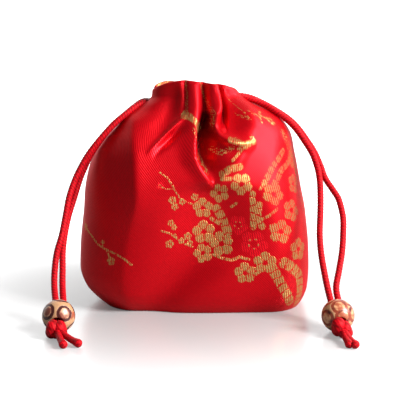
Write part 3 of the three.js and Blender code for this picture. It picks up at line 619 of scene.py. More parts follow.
def path_frames(line, closed=False):
    """Tangents and two normals along a line, turned from point to point without twist."""
    ends = np.vstack([line[-1], line, line[0]]) if closed else np.vstack([line[0], line, line[-1]])
    tangent = ends[2:] - ends[:-2]
    tangent /= np.linalg.norm(tangent, axis=1, keepdims=True)
    normal = np.empty_like(tangent)
    start = np.cross(tangent[0], (0, 0, 1) if abs(tangent[0, 2]) < 0.9 else (1, 0, 0))
    normal[0] = start / np.linalg.norm(start)
    for i in range(1, len(line)):
        carried = normal[i - 1] - tangent[i] * (normal[i - 1] @ tangent[i])
        normal[i] = carried / np.linalg.norm(carried)
    return normal, np.cross(tangent, normal)


def full_turn(columns):
    """Angles of a ring's columns, with the first one again at the end."""
    return 2 * np.pi * np.arange(columns + 1) / columns


def tube_grid(line, radius, columns, closed=False):
    """Rings carried along a line, with a radius for each of its points and columns; open ends get poles."""
    normal, binormal = path_frames(line, closed)
    turn = full_turn(columns)[:-1, None]
    ring = np.cos(turn) * normal[:, None] + np.sin(turn) * binormal[:, None]
    grid = line[:, None] + np.broadcast_to(radius, (len(line), columns))[..., None] * ring
    if closed:
        return grid
    start, end = np.repeat(line[:1], columns, 0)[None], np.repeat(line[-1:], columns, 0)[None]
    return np.vstack([start, grid, end])


def corners(grid):
    """Values at the four corners of each cell of a grid of rows and columns."""
    return np.stack([grid[:-1, :-1], grid[:-1, 1:], grid[1:, 1:], grid[1:, :-1]], 2)


def grid_faces(points, ring_rows):
    """Vertices, triangles, quads and the order of the grid's corners on them.

    The grid is closed round its columns. With ring_rows its rows close too; otherwise the first and last rows
    are poles of one vertex each.
    """
    rows, columns = points.shape[:2]
    following = np.roll(np.arange(columns), -1)
    if ring_rows:
        index = np.arange(rows * columns).reshape(rows, columns)
        after = np.roll(index, -1, 0)
        quads = np.stack([index, index[:, following], after[:, following], after], -1).reshape(-1, 4)
        return points.reshape(-1, 3), np.empty((0, 3), int), quads, np.arange(quads.size)
    index = np.arange((rows - 2) * columns).reshape(rows - 2, columns) + 1
    last = np.full(columns, (rows - 2) * columns + 1)
    first_fan = np.stack([np.zeros(columns, int), index[0, following], index[0]], -1)
    last_fan = np.stack([index[-1], index[-1, following], last], -1)
    quads = np.stack([index[:-1], index[:-1, following], index[1:, following], index[1:]], -1)
    quads = quads.reshape(-1, 4)
    vertices = np.vstack([points[0, :1], points[1:-1].reshape(-1, 3), points[-1, :1]])
    cell = np.arange((rows - 1) * columns * 4).reshape(rows - 1, columns, 4)
    order = [cell[0][:, [0, 2, 3]].ravel(), cell[-1][:, [0, 1, 2]].ravel(), cell[1:-1].ravel()]
    return vertices, np.vstack([first_fan, last_fan]), quads, np.concatenate(order)


def grid_piece(name, grids, material):
    """Object made of one or more closed grids: each is (points, ring_rows, {UV map: corner values})."""
    vertices, faces, maps, count = [], [], {}, 0
    for points, ring_rows, uv in grids:
        own, triangles, quads, order = grid_faces(points, ring_rows)
        vertices.append(own)
        faces += (triangles + count).tolist() + (quads + count).tolist()
        count += len(own)
        for key, values in uv.items():
            maps.setdefault(key, []).append(values.reshape(-1, 2)[order])
    mesh = bpy.data.meshes.new(name)
    mesh.from_pydata(np.vstack(vertices), [], faces)
    for key, parts in maps.items():
        values = np.vstack(parts).astype(np.float32).ravel()
        mesh.uv_layers.new(name=key).data.foreach_set("uv", values)
    mesh.shade_smooth()
    mesh.materials.append(material)
    mesh.update()
    piece = bpy.data.objects.new(name, mesh)
    bpy.context.scene.collection.objects.link(piece)
    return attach(piece, BODY)


# Pouch


def round_cloth(angle):
    """Distance round the widest section from the front's middle, positive to the right, and its girth.

    Both are in millimetres. The angles go from the back by the left and the front to the back again.
    """
    fine = np.linspace(np.pi / 2, 5 * np.pi / 2, FINE_ANGLES)
    length = run_along(np.stack(unfolded(fine, WIDEST_LEVEL)[:2], -1))
    return np.interp(angle, fine, length) - length[-1] / 2, length[-1]


def cloth_height(level):
    """Distance up the cloth from the base's edge to a level: the way along the mean of its two outlines."""
    fine = np.linspace(0, HEM_LEVEL, FINE_LEVELS)
    outline = sum(smooth_table(SECTIONS[:, 0], SECTIONS[:, k], fine) for k in (1, 2)) / 2
    return np.interp(level, fine, run_along(np.stack([fine, outline], -1)))


def figure_map(cloth, figures, girth):
    """Corner coordinates in the nearest figure's own frame: 0 at its middle and 1 at its radius."""
    shift = girth / REPEATS * np.arange(-REPEATS, REPEATS + 1)
    repeated = np.vstack([figures + (offset, 0, 0) for offset in shift])
    middle = cloth.mean(2)
    nearest = np.zeros(middle.shape[:2], int)
    best = np.full(middle.shape[:2], np.inf)
    for k, (across, up, radius) in enumerate(repeated):
        distance = np.hypot(middle[..., 0] - across, middle[..., 1] - up) / radius
        nearest = np.where(distance < best, k, nearest)
        best = np.minimum(distance, best)
    found = repeated[nearest][:, :, None]
    local = (cloth - found[..., :2]) / found[..., 2:]
    turn = (nearest * FIGURE_TURN)[:, :, None]
    c, s = np.cos(turn), np.sin(turn)
    x, y = local[..., 0], local[..., 1]
    return np.stack([c * x - s * y, s * x + c * y], -1)


def twig_map(cloth, twigs, girth):
    """Corner coordinates on the nearest twig: across in its half widths, and along in millimetres."""
    middle = cloth.mean(2)
    best = np.full(middle.shape[:2], np.inf)
    result = np.zeros_like(cloth)
    for offset in girth / REPEATS * np.arange(-REPEATS, REPEATS + 1):
        for twig in twigs:
            points = np.array(twig.points) + (offset, 0)
            run = 0.0
            for start, end in zip(points[:-1], points[1:]):
                length = np.linalg.norm(end - start)
                way = (end - start) / length
                side = np.array([-way[1], way[0]])
                along = np.clip((middle - start) @ way, 0, length)
                gap = np.linalg.norm(middle - start - along[..., None] * way, axis=-1) / twig.half_width
                nearer = gap < best
                best = np.where(nearer, gap, best)
                forward = (cloth - start) @ way
                beyond = np.maximum(np.maximum(-forward, forward - length), 0)
                across = np.hypot((cloth - start) @ side, beyond) / twig.half_width
                own = np.stack([across, run + forward], -1)
                result = np.where(nearer[:, :, None, None], own, result)
                run += length
    return result


def rows_between(first, last, shares):
    """Rows of points at shares of the way from one row to another."""
    return first + np.asarray(shares)[:, None, None] * (last - first)


def pouch_grid(settings):
    """Rows of the cloth from the base's middle up its outside, over the hem and down the casing and lining.

    Each row is one level all round, and columns stand closer at the front and back, where the folds are.
    With the points come their places on the flat cloth, their painted shades, the girth, and the count of
    rows that can show.
    """
    u = np.linspace(0, 1, settings.columns + 1)
    angle = np.pi / 2 + 2 * np.pi * u - CROWDING / 2 * np.sin(4 * np.pi * u)
    cloth, edge = settings.cloth / MM, settings.hem_edge / MM
    t = np.linspace(0, 1, settings.rows)
    level = HEM_ROW * (t - ROW_CROWDING * np.sin(np.pi * t) * (1 - t))
    turn = np.linspace(0, np.pi, HEM_STEPS + 2)[1:-1]
    turned_in = edge / 2 * (1 - np.cos(turn))
    turned_level = HEM_ROW + (HEM_LEVEL - HEM_ROW) * np.sin(turn)
    lining = np.linspace(LINING_TOP, cloth, LINING_ROWS)
    base, inside = np.array([SECTIONS[0, 4], 0, 0]), np.array([SECTIONS[0, 4], 0, cloth])
    foot, lip = cloth_point(angle, 0.0), cloth_point(angle, HEM_ROW, edge)
    mouth_top = tunnel_point(angle, MOUTH_INSET, MOUTH_TOP)
    mouth_foot = tunnel_point(angle, MOUTH_INSET, MOUTH_FOOT)
    lining_points = cloth_point(angle, lining[:, None], cloth)
    top = cloth_height(HEM_LEVEL)
    reach = CASING_REACH * np.ones_like(MOUTH_SHARES)
    blocks = [
        (rows_between(base, foot, BASE_SHARES), -BASE_REACH * (1 - BASE_SHARES)),
        (cloth_point(angle, level[:, None]), cloth_height(level)),
        (cloth_point(angle, turned_level[:, None], turned_in[:, None]), top + turned_in),
        (rows_between(lip, mouth_top, ease(LIP_SHARES, 0, 1)), top + edge + CASING_REACH * LIP_SHARES),
        (rows_between(mouth_top, mouth_foot, MOUTH_SHARES), top + 2 * reach),
        (rows_between(mouth_foot, lining_points[0], MOUTH_SHARES[:-1]), top + 3 * reach[:-1]),
        (lining_points, cloth_height(lining)),
        (rows_between(lining_points[-1], inside, MOUTH_SHARES), -BASE_REACH * MOUTH_SHARES),
    ]
    points = np.vstack([rows for rows, _ in blocks])
    height = np.concatenate([heights for _, heights in blocks])
    across, girth = round_cloth(angle)
    cloth_map = np.stack(np.broadcast_arrays(across, height[:, None]), -1)
    shade = np.zeros(points.shape[:2])
    shade[len(BASE_SHARES):len(BASE_SHARES) + settings.rows] = fold_sums(angle, level[:, None])[2]
    outside = sum(len(rows) for rows, _ in blocks[:4])
    return points[:, :-1] * MM, cloth_map, shade, girth, outside


class GIFTBAG_OT_pouch(bpy.types.Operator):
    """Build the gathered brocade pouch"""

    bl_idname = "giftbag.pouch"
    bl_label = "Pouch"

    def execute(self, context):
        settings = context.scene.giftbag_pouch
        points, cloth_map, shade, girth, outside = pouch_grid(settings)
        cloth = corners(cloth_map)
        hidden = np.arange(len(cloth))[:, None, None, None] >= outside
        figures = {
            "gold_blossom": figure_map(cloth, GOLD_BLOSSOMS, girth),
            "tonal_blossom": figure_map(cloth, TONAL_BLOSSOMS, girth),
            "twig": twig_map(cloth, TWIGS, girth),
            "glitter": twig_map(cloth, GLITTER, girth),
        }
        maps = {
            "cloth": cloth * MM,
            **{name: np.where(hidden, FAR_OFF, places) for name, places in figures.items()},
            "shade": corners(np.stack([shade, shade], -1)),
        }
        material = brocade_material(settings, girth * MM / REPEATS)
        pouch = grid_piece("brocade_pouch", [(points, False, maps)], material)
        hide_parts("pouch")
        return {"FINISHED"}


# Cords, beads and knots


def hole_axis(side):
    """Unit vector along a bead's hole, from its back to its front."""
    axis = np.array([HOLE_YAW[side], -1, -HOLE_SLOPE])
    return axis / np.linalg.norm(axis)


def across_hole(side):
    """Level unit vector across a bead's hole, to the right."""
    axis = hole_axis(side)
    across = np.array([1, 0, 0]) - axis * axis[0]
    return across / np.linalg.norm(across)


def rib_phase(run, rib, columns):
    """Phase of the slanting ribs by the way along a cord and the column: a wave to a rib, two waves round."""
    return 2 * np.pi * run[:, None] / rib + 2 * full_turn(columns)[:-1]


def cord_map(run, columns, diameter):
    """UV map of a cord: the way round it and the way along it, in metres."""
    around = full_turn(columns) * diameter / 2
    return {"cord": corners(np.stack(np.broadcast_arrays(around, run[:, None]), -1))}


def with_poles(run):
    """Way along an open tube, with its first and last values again for the poles."""
    return np.concatenate([run[:1], run, run[-1:]])


def cord_grid(line, settings):
    """Tube along a line whose radius swells in slanting ribs: a sine of the length and twice the turn."""
    run = run_along(line)
    mean, swing = CORD_RIB
    radius = settings.diameter / 2 * (mean + swing * np.sin(rib_phase(run, settings.rib, CORD_COLUMNS)))
    grid = tube_grid(line, radius, CORD_COLUMNS)
    return grid, False, cord_map(with_poles(run), CORD_COLUMNS, settings.diameter)


class GIFTBAG_OT_cords(bpy.types.Operator):
    """Build the four strands and the bights in the casing"""

    bl_idname = "giftbag.cords"
    bl_label = "Drawcords"

    def execute(self, context):
        settings = context.scene.giftbag_cord
        bead = context.scene.giftbag_bead
        material = cord_material(settings)
        spacing = settings.rib / RIB_STEPS
        for side in SIDES:
            axis, across = hole_axis(side), across_hole(side)
            for which, sign in STRAND_SIDE.items():
                offset = across * STRAND_OFFSET * sign
                in_bead = [node_middle(f"bead_{side}") + axis * share * bead.diameter / 2 + offset
                           for share in STRAND_REACH]
                line = curve_through([*STRANDS[side, which], *in_bead], spacing)
                strand = grid_piece(f"strand_{side}_{which}", [cord_grid(line, settings)], material)
                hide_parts(f"drawcord_{side}")
            ring = tunnel_point(np.radians(RING_ANGLES[side])) * MM + (0, 0, CORD_STACK[side])
            line = curve_through([STRANDS[side, "front"][0], *ring, STRANDS[side, "rear"][0]], spacing)
            bight = grid_piece(f"casing_bight_{side}", [cord_grid(line, settings)], material)
            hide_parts(f"drawcord_{side}")
        return {"FINISHED"}


def bead_grid(settings, side):
    """Profile turned about the hole: the sphere's arc between the rims, then the bore, closed into a ring."""
    radius, hole = settings.diameter / 2, settings.hole / 2
    rim = np.arccos((hole + BEAD_RIM) / radius)
    turn = np.linspace(-rim, rim, BEAD_ROWS)
    bevel = np.linspace(0, np.pi / 2, BEAD_RIM_STEPS)[1:]
    rim_out = hole + BEAD_RIM * (1 - np.sin(bevel))
    rim_along = radius * np.sin(rim) - BEAD_RIM * (1 - np.cos(bevel))
    out = np.concatenate([radius * np.cos(turn), rim_out, rim_out[::-1]])
    along = np.concatenate([radius * np.sin(turn), rim_along, -rim_along[::-1]])
    axis, across = hole_axis(side), across_hole(side)
    upward = np.cross(across, axis)
    spin = full_turn(BEAD_COLUMNS)[:, None]
    round_hole = np.cos(spin) * across - np.sin(spin) * upward
    grid = along[:, None, None] * axis + out[:, None, None] * round_hole
    closed = np.vstack([grid, grid[:1]])
    return grid[:, :-1], ring_map(corners(closed), BURNT_RINGS[side], settings)


def ring_map(cell, rings, settings):
    """Corner coordinates on the nearest burnt ring: the tangent plane at its middle, 1 at its line."""
    rings = rings / np.linalg.norm(rings, axis=1, keepdims=True)
    unit = cell / np.linalg.norm(cell, axis=-1, keepdims=True)
    nearest = np.argmax(unit.mean(2) @ rings.T, -1)
    middle = rings[nearest][:, :, None]
    first = np.cross(middle, RING_REFERENCE)
    first /= np.linalg.norm(first, axis=-1, keepdims=True)
    second = np.cross(middle, first)
    scale = settings.diameter / 2 / settings.ring
    facing = (unit * middle).sum(-1)
    flat = np.stack([(unit * first).sum(-1), (unit * second).sum(-1)], -1) * scale
    return np.where(facing[..., None] > RING_EDGE, flat, FAR_OFF)


class GIFTBAG_OT_beads(bpy.types.Operator):
    """Build the drilled wooden beads with their burnt rings"""

    bl_idname = "giftbag.beads"
    bl_label = "Beads"

    def execute(self, context):
        settings = context.scene.giftbag_bead
        for side in SIDES:
            points, rings = bead_grid(settings, side)
            middle = node_middle(f"bead_{side}")
            material = wood_material(settings, side, middle)
            bead = grid_piece(f"wood_bead_{side}", [(points + middle, True, {"ring": rings})], material)
            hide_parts(f"bead_{side}")
        return {"FINISHED"}


def knot_grids(side, settings):
    """Overhand knot of the two strands: oval rings of thick cord side by side, and two tails.

    Each ring is a tube round an ellipse in the plane of the hole and the upright, and the rings spread at the
    top. Each tail is a tube that swells to a melted bulb.
    """
    axis, across = hole_axis(side), across_hole(side)
    upward = np.cross(across, axis)
    middle = node_middle(f"bead_{side}") + axis * KNOT_REACH
    t = np.linspace(0, 2 * np.pi, KNOT_STEPS, endpoint=False)[:, None]
    grids = []
    for lobe in KNOT_LOBES[side]:
        roll = np.radians(lobe.roll)
        up = upward * np.cos(roll) + across * np.sin(roll)
        centre = middle + lobe.across * across + lobe.up * upward
        line = centre + np.cos(t) * lobe.half_length * axis + np.sin(t) * lobe.half_height * up
        run = run_along(np.vstack([line, line[:1]]))
        rib = run[-1] / np.round(run[-1] / settings.rib)
        ribs = KNOT_RIB[0] + KNOT_RIB[1] * np.cos(rib_phase(run[:-1], rib, KNOT_COLUMNS))
        grid = tube_grid(line, lobe.thickness / 2 * ribs, KNOT_COLUMNS, closed=True)
        grid[..., 2] = np.maximum(grid[..., 2], KNOT_GAP)
        grids.append((grid, True, cord_map(run, KNOT_COLUMNS, settings.diameter)))
    for end in np.array(TAIL_ENDS[side]):
        half = middle + TAIL_BEND * (end - middle)
        half[2] = end[2] + TAIL_ARCH
        line = curve_through([middle, half, end], settings.rib / RIB_STEPS)
        run = run_along(line)
        share = np.linspace(0, 1, len(line))
        swell = TAIL_RADIUS + BULB_SWELL * np.exp(-((share - BULB_AT) / BULB_REACH) ** 2)
        tip = np.sqrt(np.clip((1 - share) / TIP_REACH, TIP_LEAST, 1))
        ribs = TAIL_RIB[0] + TAIL_RIB[1] * np.cos(rib_phase(run, settings.rib, KNOT_COLUMNS))
        grid = tube_grid(line, settings.diameter / 2 * (swell * tip)[:, None] * ribs, KNOT_COLUMNS)
        grid[..., 2] = np.maximum(grid[..., 2], TAIL_GAP)
        grids.append((grid, False, cord_map(with_poles(run), KNOT_COLUMNS, settings.diameter)))
    return grids


class GIFTBAG_OT_knots(bpy.types.Operator):
    """Build the overhand knots with their tails"""

    bl_idname = "giftbag.knots"
    bl_label = "Knots"

    def execute(self, context):
        settings = context.scene.giftbag_cord
        material = cord_material(settings)
        for side in SIDES:
            knot = grid_piece(f"tied_knot_{side}", knot_grids(side, settings), material)
            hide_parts(f"knot_{side}")
        return {"FINISHED"}


# Materials


def set_inputs(node, inputs):
    """Link each input that is given a socket, and set any other."""
    for key, value in inputs.items():
        if isinstance(value, bpy.types.NodeSocket):
            node.id_data.links.new(value, node.inputs[key])
        else:
            node.inputs[key].default_value = value


def put(tree, kind, inputs=(), **settings):
    """Add a node with its settings and inputs."""
    made = tree.nodes.new(kind)
    for key, value in settings.items():
        setattr(made, key, value)
    set_inputs(made, dict(inputs))
    return made


def calc(tree, operation, *values, clamp=False):
    """Math node on sockets and numbers."""
    inputs = dict(enumerate(values))
    return put(tree, "ShaderNodeMath", inputs, operation=operation, use_clamp=clamp).outputs[0]


def product(tree, first, *others):
    """Product of sockets and numbers."""
    for other in others:
        first = calc(tree, "MULTIPLY", first, other)
    return first


def largest(tree, first, *others):
    """Largest of several sockets."""
    for other in others:
        first = calc(tree, "MAXIMUM", first, other)
    return first


def ramp(tree, value, low, high, start=0.0, end=1.0):
    """Smooth step of a value from start at low to end at high."""
    inputs = {"Value": value, "From Min": low, "From Max": high, "To Min": start, "To Max": end}
    return put(tree, "ShaderNodeMapRange", inputs, interpolation_type="SMOOTHSTEP").outputs["Result"]


def blend(tree, share, first, second):
    """Colour mixed from two by a share."""
    first, second = (c if isinstance(c, bpy.types.NodeSocket) else (*c, 1) for c in (first, second))
    return put(tree, "ShaderNodeMix", {0: share, 6: first, 7: second}, data_type="RGBA").outputs[2]


def tint(colour, share):
    """Colour times a share, at most full."""
    return tuple(min(1, share * c) for c in colour)


def noise(tree, vector, scale, detail, output="Fac", distortion=0.0):
    """Noise texture at a place."""
    inputs = {"Vector": vector, "Scale": scale, "Detail": detail, "Distortion": distortion}
    return put(tree, "ShaderNodeTexNoise", inputs).outputs[output]


def uv_place(tree, name):
    """Place on a UV map."""
    return put(tree, "ShaderNodeUVMap", uv_map=name).outputs["UV"]


def object_place(tree):
    """Place in the object's own space."""
    return put(tree, "ShaderNodeTexCoord").outputs["Object"]


def split(tree, vector):
    """Three axes of a vector."""
    return put(tree, "ShaderNodeSeparateXYZ", {0: vector}).outputs


def size(tree, vector):
    """Length of a vector."""
    return put(tree, "ShaderNodeVectorMath", {0: vector}, operation="LENGTH").outputs["Value"]


def bumped(tree, height, strength, distance):
    """Normal of a surface with a relief."""
    inputs = {"Height": height, "Strength": strength, "Distance": distance}
    return put(tree, "ShaderNodeBump", inputs).outputs["Normal"]


def new_group(name, inputs, outputs):
    """Empty shader node group with named sockets."""
    group = bpy.data.node_groups.new(name, "ShaderNodeTree")
    for label, kind in inputs:
        group.interface.new_socket(label, in_out="INPUT", socket_type=kind)
    for label in outputs:
        group.interface.new_socket(label, in_out="OUTPUT", socket_type="NodeSocketFloat")
    return group, group.nodes.new("NodeGroupInput").outputs, group.nodes.new("NodeGroupOutput")


def blossom_group():
    """Five round petals with gaps between them, a red heart and a ring of stamen dots.

    The input is a place in the figure's own frame, with 1 at its radius.
    """
    name = "Plum blossom"
    if name in bpy.data.node_groups:
        return bpy.data.node_groups[name]
    group, start, end = new_group(name, [("Vector", "NodeSocketVector")], ["Petals", "Stamens"])
    x, y, _ = split(group, start["Vector"])
    radius = size(group, start["Vector"])
    turn = calc(group, "ARCTAN2", y, x)
    fifths = calc(group, "MULTIPLY_ADD", turn, 5 / (2 * np.pi), 10.5)
    folded = product(group, calc(group, "SUBTRACT", calc(group, "FRACT", fifths), 0.5), 2 * np.pi / 5)
    out = product(group, radius, calc(group, "COSINE", folded))
    beside = calc(group, "ABSOLUTE", product(group, radius, calc(group, "SINE", folded)))
    from_middle = calc(group, "ABSOLUTE", calc(group, "SUBTRACT", out, PETAL_MIDDLE))
    squares = (calc(group, "POWER", part, 2.0) for part in (from_middle, beside))
    petal = ramp(group, calc(group, "SQRT", calc(group, "ADD", *squares)), *PETAL_EDGE)
    gap = calc(group, "SUBTRACT", product(group, out, np.sin(np.pi / 5)),
               product(group, beside, np.cos(np.pi / 5)))
    dots = ramp(group, calc(group, "COSINE", product(group, turn, 5.0)), *STAMEN_DOT)
    band = product(group, ramp(group, radius, *STAMEN_INNER), ramp(group, radius, *STAMEN_OUTER))
    petals = product(group, petal, ramp(group, gap, *PETAL_GAP), ramp(group, radius, *HEART_EDGE))
    set_inputs(end, {"Petals": petals, "Stamens": product(group, dots, band)})
    return group


def blossom(tree, place):
    """Petals and stamens of a blossom."""
    return put(tree, "ShaderNodeGroup", {"Vector": place}, node_tree=blossom_group()).outputs


def thread_group():
    """Slanting threads on a map in metres: a sine across them, broken by fine noise."""
    name = "Satin threads"
    if name in bpy.data.node_groups:
        return bpy.data.node_groups[name]
    group, start, end = new_group(
        name, [("Vector", "NodeSocketVector"), ("Pitch", "NodeSocketFloat"), ("Slant", "NodeSocketFloat")],
        ["Height", "Streak"])
    x, y, _ = split(group, start["Vector"])
    leaning = calc(group, "MULTIPLY_ADD", y, start["Slant"], x)
    wave = calc(group, "SINE", product(group, calc(group, "DIVIDE", leaning, start["Pitch"]), 2 * np.pi))
    uneven = calc(group, "SUBTRACT", noise(group, start["Vector"], 900.0, 2.0), 0.5)
    streak = calc(group, "MULTIPLY_ADD", uneven, 1.6, calc(group, "MULTIPLY_ADD", wave, 0.5, 0.5))
    set_inputs(end, {"Height": wave, "Streak": calc(group, "MULTIPLY", streak, 1.0, clamp=True)})
    return group


def threads(tree, place, pitch, slant):
    """Height and streaks of slanting threads."""
    inputs = {"Vector": place, "Pitch": pitch, "Slant": slant}
    return put(tree, "ShaderNodeGroup", inputs, node_tree=thread_group()).outputs


def new_material(name):
    """Material with only a Principled shader and an output."""
    material = bpy.data.materials.new(name)
    material.use_nodes = True
    tree = material.node_tree
    shader = next(n for n in tree.nodes if n.type == "BSDF_PRINCIPLED")
    return material, tree, shader


def brocade_material(settings, repeat):
    """Red satin with gold and tonal plum blossoms, twigs and loose gold threads woven in.

    The gold threads lie sparser in the right-hand figures of each repeat, between the base and the shoulder,
    and their gold is darkened to a brown-gold as painted shade. Deep tucks are darkened as painted shade.
    The gloss fades where the cloth turns away.
    """
    material, tree, shader = new_material("brocade")
    cloth = uv_place(tree, "cloth")
    inputs = {0: noise(tree, cloth, 1700.0, 1.0, "Color"), 1: (0.5, 0.5, 0.5)}
    ragged = put(tree, "ShaderNodeVectorMath", inputs, operation="SUBTRACT").outputs[0]

    def frayed(name):
        """Place on a figure's map, moved about by the weave."""
        inputs = {0: ragged, 1: (FRAY[name], FRAY[name], 0), 2: uv_place(tree, name)}
        return put(tree, "ShaderNodeVectorMath", inputs, operation="MULTIPLY_ADD").outputs[0]

    twill_height, twill = threads(tree, cloth, *TWILL)
    _, floats = threads(tree, cloth, *FLOATS)
    gold_petals, gold_stamens = blossom(tree, frayed("gold_blossom"))
    tonal_petals, tonal_stamens = blossom(tree, frayed("tonal_blossom"))
    twig_across, twig_along, _ = split(tree, frayed("twig"))
    knuckle = calc(tree, "MULTIPLY_ADD", noise(tree, cloth, 420.0, 1.0), 4.0,
                   product(tree, twig_along, 2 * np.pi / KNUCKLE))
    knuckles = ramp(tree, calc(tree, "SINE", knuckle), -0.98, -0.8)
    twig = product(tree, ramp(tree, twig_across, 1.0, 0.75), knuckles)
    sparse = ramp(tree, noise(tree, cloth, 1300.0, 0.0), 0.5, 0.58)
    glitter = product(tree, ramp(tree, split(tree, frayed("glitter"))[0], 1.0, 0.7), sparse)
    figure = largest(tree, gold_petals, gold_stamens, twig, tonal_stamens, glitter)
    across, up, _ = split(tree, cloth)
    # Mask of the right-hand figures of each repeat: their gold is sparser, and darkened as painted shade.
    on_side = ramp(tree, calc(tree, "WRAP", across, repeat / 2, -repeat / 2), *SHADED_GOLD_SIDE)
    sparse_and_shaded = product(tree, on_side, ramp(tree, up, *SHADED_GOLD_FOOT), ramp(tree, up, *SHADED_GOLD_TOP))
    cover = calc(tree, "MULTIPLY_ADD", sparse_and_shaded, -0.22, floats)
    woven = product(tree, figure, ramp(tree, cover, 0.05, 0.4))
    dark = tint(settings.satin, 0.6)
    ground = blend(tree, ramp(tree, twill, 0.0, 1.0, 0.0, 0.5), settings.satin, dark)
    ground = blend(tree, ramp(tree, noise(tree, cloth, 60.0, 3.0), 0.35, 0.75, 0.0, 0.2), ground, dark)
    # Painted shade: the satin darkens towards the tuck colour in deep tucks.
    shade = split(tree, uv_place(tree, "shade"))[0]
    ground = blend(tree, ramp(tree, shade, 0.05, 0.8, 0.0, 0.85), ground, settings.tuck)
    tonal_red = blend(tree, floats, tint(settings.tonal, 0.55), settings.tonal)
    ground = blend(tree, tonal_petals, ground, tonal_red)
    # Painted shade: the right-hand figures' gold turns a darker brown-gold.
    lit, unlit = (blend(tree, sparse_and_shaded, tint(settings.gold, share), tint(settings.shaded_gold, share))
                  for share in (1, 0.5))
    lustre = product(tree, woven, ramp(tree, sparse_and_shaded, 0, 1, 1, -0.3))
    relief = calc(tree, "MULTIPLY_ADD", woven, 0.8, product(tree, twill_height, 0.3))
    relief = calc(tree, "MULTIPLY_ADD", tonal_petals, 0.5, relief)
    turned_away = put(tree, "ShaderNodeLayerWeight").outputs["Facing"]
    set_inputs(shader, {
        "Base Color": blend(tree, woven, ground, blend(tree, floats, unlit, lit)),
        "Metallic": ramp(tree, lustre, -1, 1, 0.25, 0.75),
        "Roughness": ramp(tree, product(tree, woven, sparse_and_shaded), 0, 1, 0.38, 0.6),
        "Normal": bumped(tree, relief, 0.6, 0.00012),
        "Specular IOR Level": ramp(tree, turned_away, 0.5, 0.9, 0.5, 0.08),
        "Specular Tint": (1, 0.3, 0.32, 1),
        "Sheen Weight": 0.02,
        "Sheen Roughness": 0.35,
        "Sheen Tint": (1, 0.2, 0.2, 1),
    })
    return material


def cord_material(settings):
    """Braided satin cord: painted shade between the ribs of its mesh, and fine threads that slant across
    them.
    """
    name = "satin_cord"
    if name in bpy.data.materials:
        return bpy.data.materials[name]
    material, tree, shader = new_material(name)
    place = uv_place(tree, "cord")
    rib_pitch = np.pi * settings.diameter / 2
    _, ribs = threads(tree, place, rib_pitch, rib_pitch / settings.rib)
    height, streak = threads(tree, place, *CORD_THREADS)
    dark = tint(settings.colour, 0.35)
    colour = blend(tree, ramp(tree, streak, 0.2, 0.9, 0.45, 0.0), settings.colour, dark)
    set_inputs(shader, {
        # Painted shade: the colour darkens between the ribs of the braid.
        "Base Color": blend(tree, ramp(tree, ribs, 0.0, 0.6, 0.9, 0.0), colour, dark),
        "Roughness": ramp(tree, streak, 0, 1, 0.6, 0.5),
        "Normal": bumped(tree, height, 0.3, 0.0001),
        "Specular IOR Level": 0.3,
        "Specular Tint": (1, 0.25, 0.25, 1),
    })
    return material


def wood_material(settings, side, middle):
    """Varnished pale wood with burnt rings, pale streaked inside, and red-brown stains around them."""
    material, tree, shader = new_material(f"ringed_wood_{side}")
    inputs = {"Vector": object_place(tree), "Location": tuple(-middle)}
    place = put(tree, "ShaderNodeMapping", inputs).outputs["Vector"]
    ragged = noise(tree, place, 420.0, 3.0)
    grain = noise(tree, place, 900.0, 4.0, distortion=1.5)
    radius = calc(tree, "MULTIPLY_ADD", calc(tree, "SUBTRACT", ragged, 0.5), 0.35,
                  size(tree, uv_place(tree, "ring")))
    line = ramp(tree, calc(tree, "ABSOLUTE", calc(tree, "SUBTRACT", radius, 1.0)), 0.27, 0.15)
    wood = blend(tree, grain, tint(settings.wood, 0.62), tint(settings.wood, 1.25))
    stained = blend(tree, ramp(tree, noise(tree, place, 260.0, 2.0), 0.52, 0.66, 0, 0.85), wood, STAIN)
    core = blend(tree, ramp(tree, ragged, 0.42, 0.62), *RING_CORES[side])
    burnt = blend(tree, ramp(tree, ragged, *RING_WEAR[side]), STAIN, settings.burn)
    colour = blend(tree, ramp(tree, radius, 0.95, 0.85), stained, core)
    relief = calc(tree, "MULTIPLY_ADD", line, -1.0, product(tree, grain, 0.25))
    set_inputs(shader, {
        "Base Color": blend(tree, line, colour, burnt),
        "Roughness": ramp(tree, grain, 0, 1, 0.42, 0.3),
        "Normal": bumped(tree, relief, 0.5, 0.0002),
        "Specular IOR Level": 0.35,
        "Coat Weight": 0.2,
        "Coat Roughness": 0.2,
    })
    return material


def floor_material():
    """Glossy white board with a faint unevenness, which glows for the camera away from the bag."""
    material, tree, shader = new_material("white_board")
    place = object_place(tree)
    seen = put(tree, "ShaderNodeLightPath").outputs["Is Camera Ray"]
    set_inputs(shader, {
        "Base Color": (0.32, 0.32, 0.32, 1),
        "Roughness": ramp(tree, noise(tree, place, 6.0, 2.0), 0.3, 0.7, 0.2, 0.26),
        "Specular IOR Level": 0.8,
        "Emission Color": (1, 1, 1, 1),
        "Emission Strength": product(tree, seen, ramp(tree, size(tree, place), 0.03, 0.18, 0.1, 1.1)),
    })
    return material


def backdrop_material():
    """White paper that glows softly and evenly but for its faint mottle."""
    material, tree, shader = new_material("white_paper")
    mottle = noise(tree, object_place(tree), 2.0, 2.0)
    set_inputs(shader, {
        "Base Color": (0.8, 0.8, 0.8, 1),
        "Roughness": 0.9,
        "Emission Color": blend(tree, mottle, (0.96, 0.96, 0.96), (1.0, 1.0, 1.0)),
        "Emission Strength": 1.0,
    })
    return material


# Stage


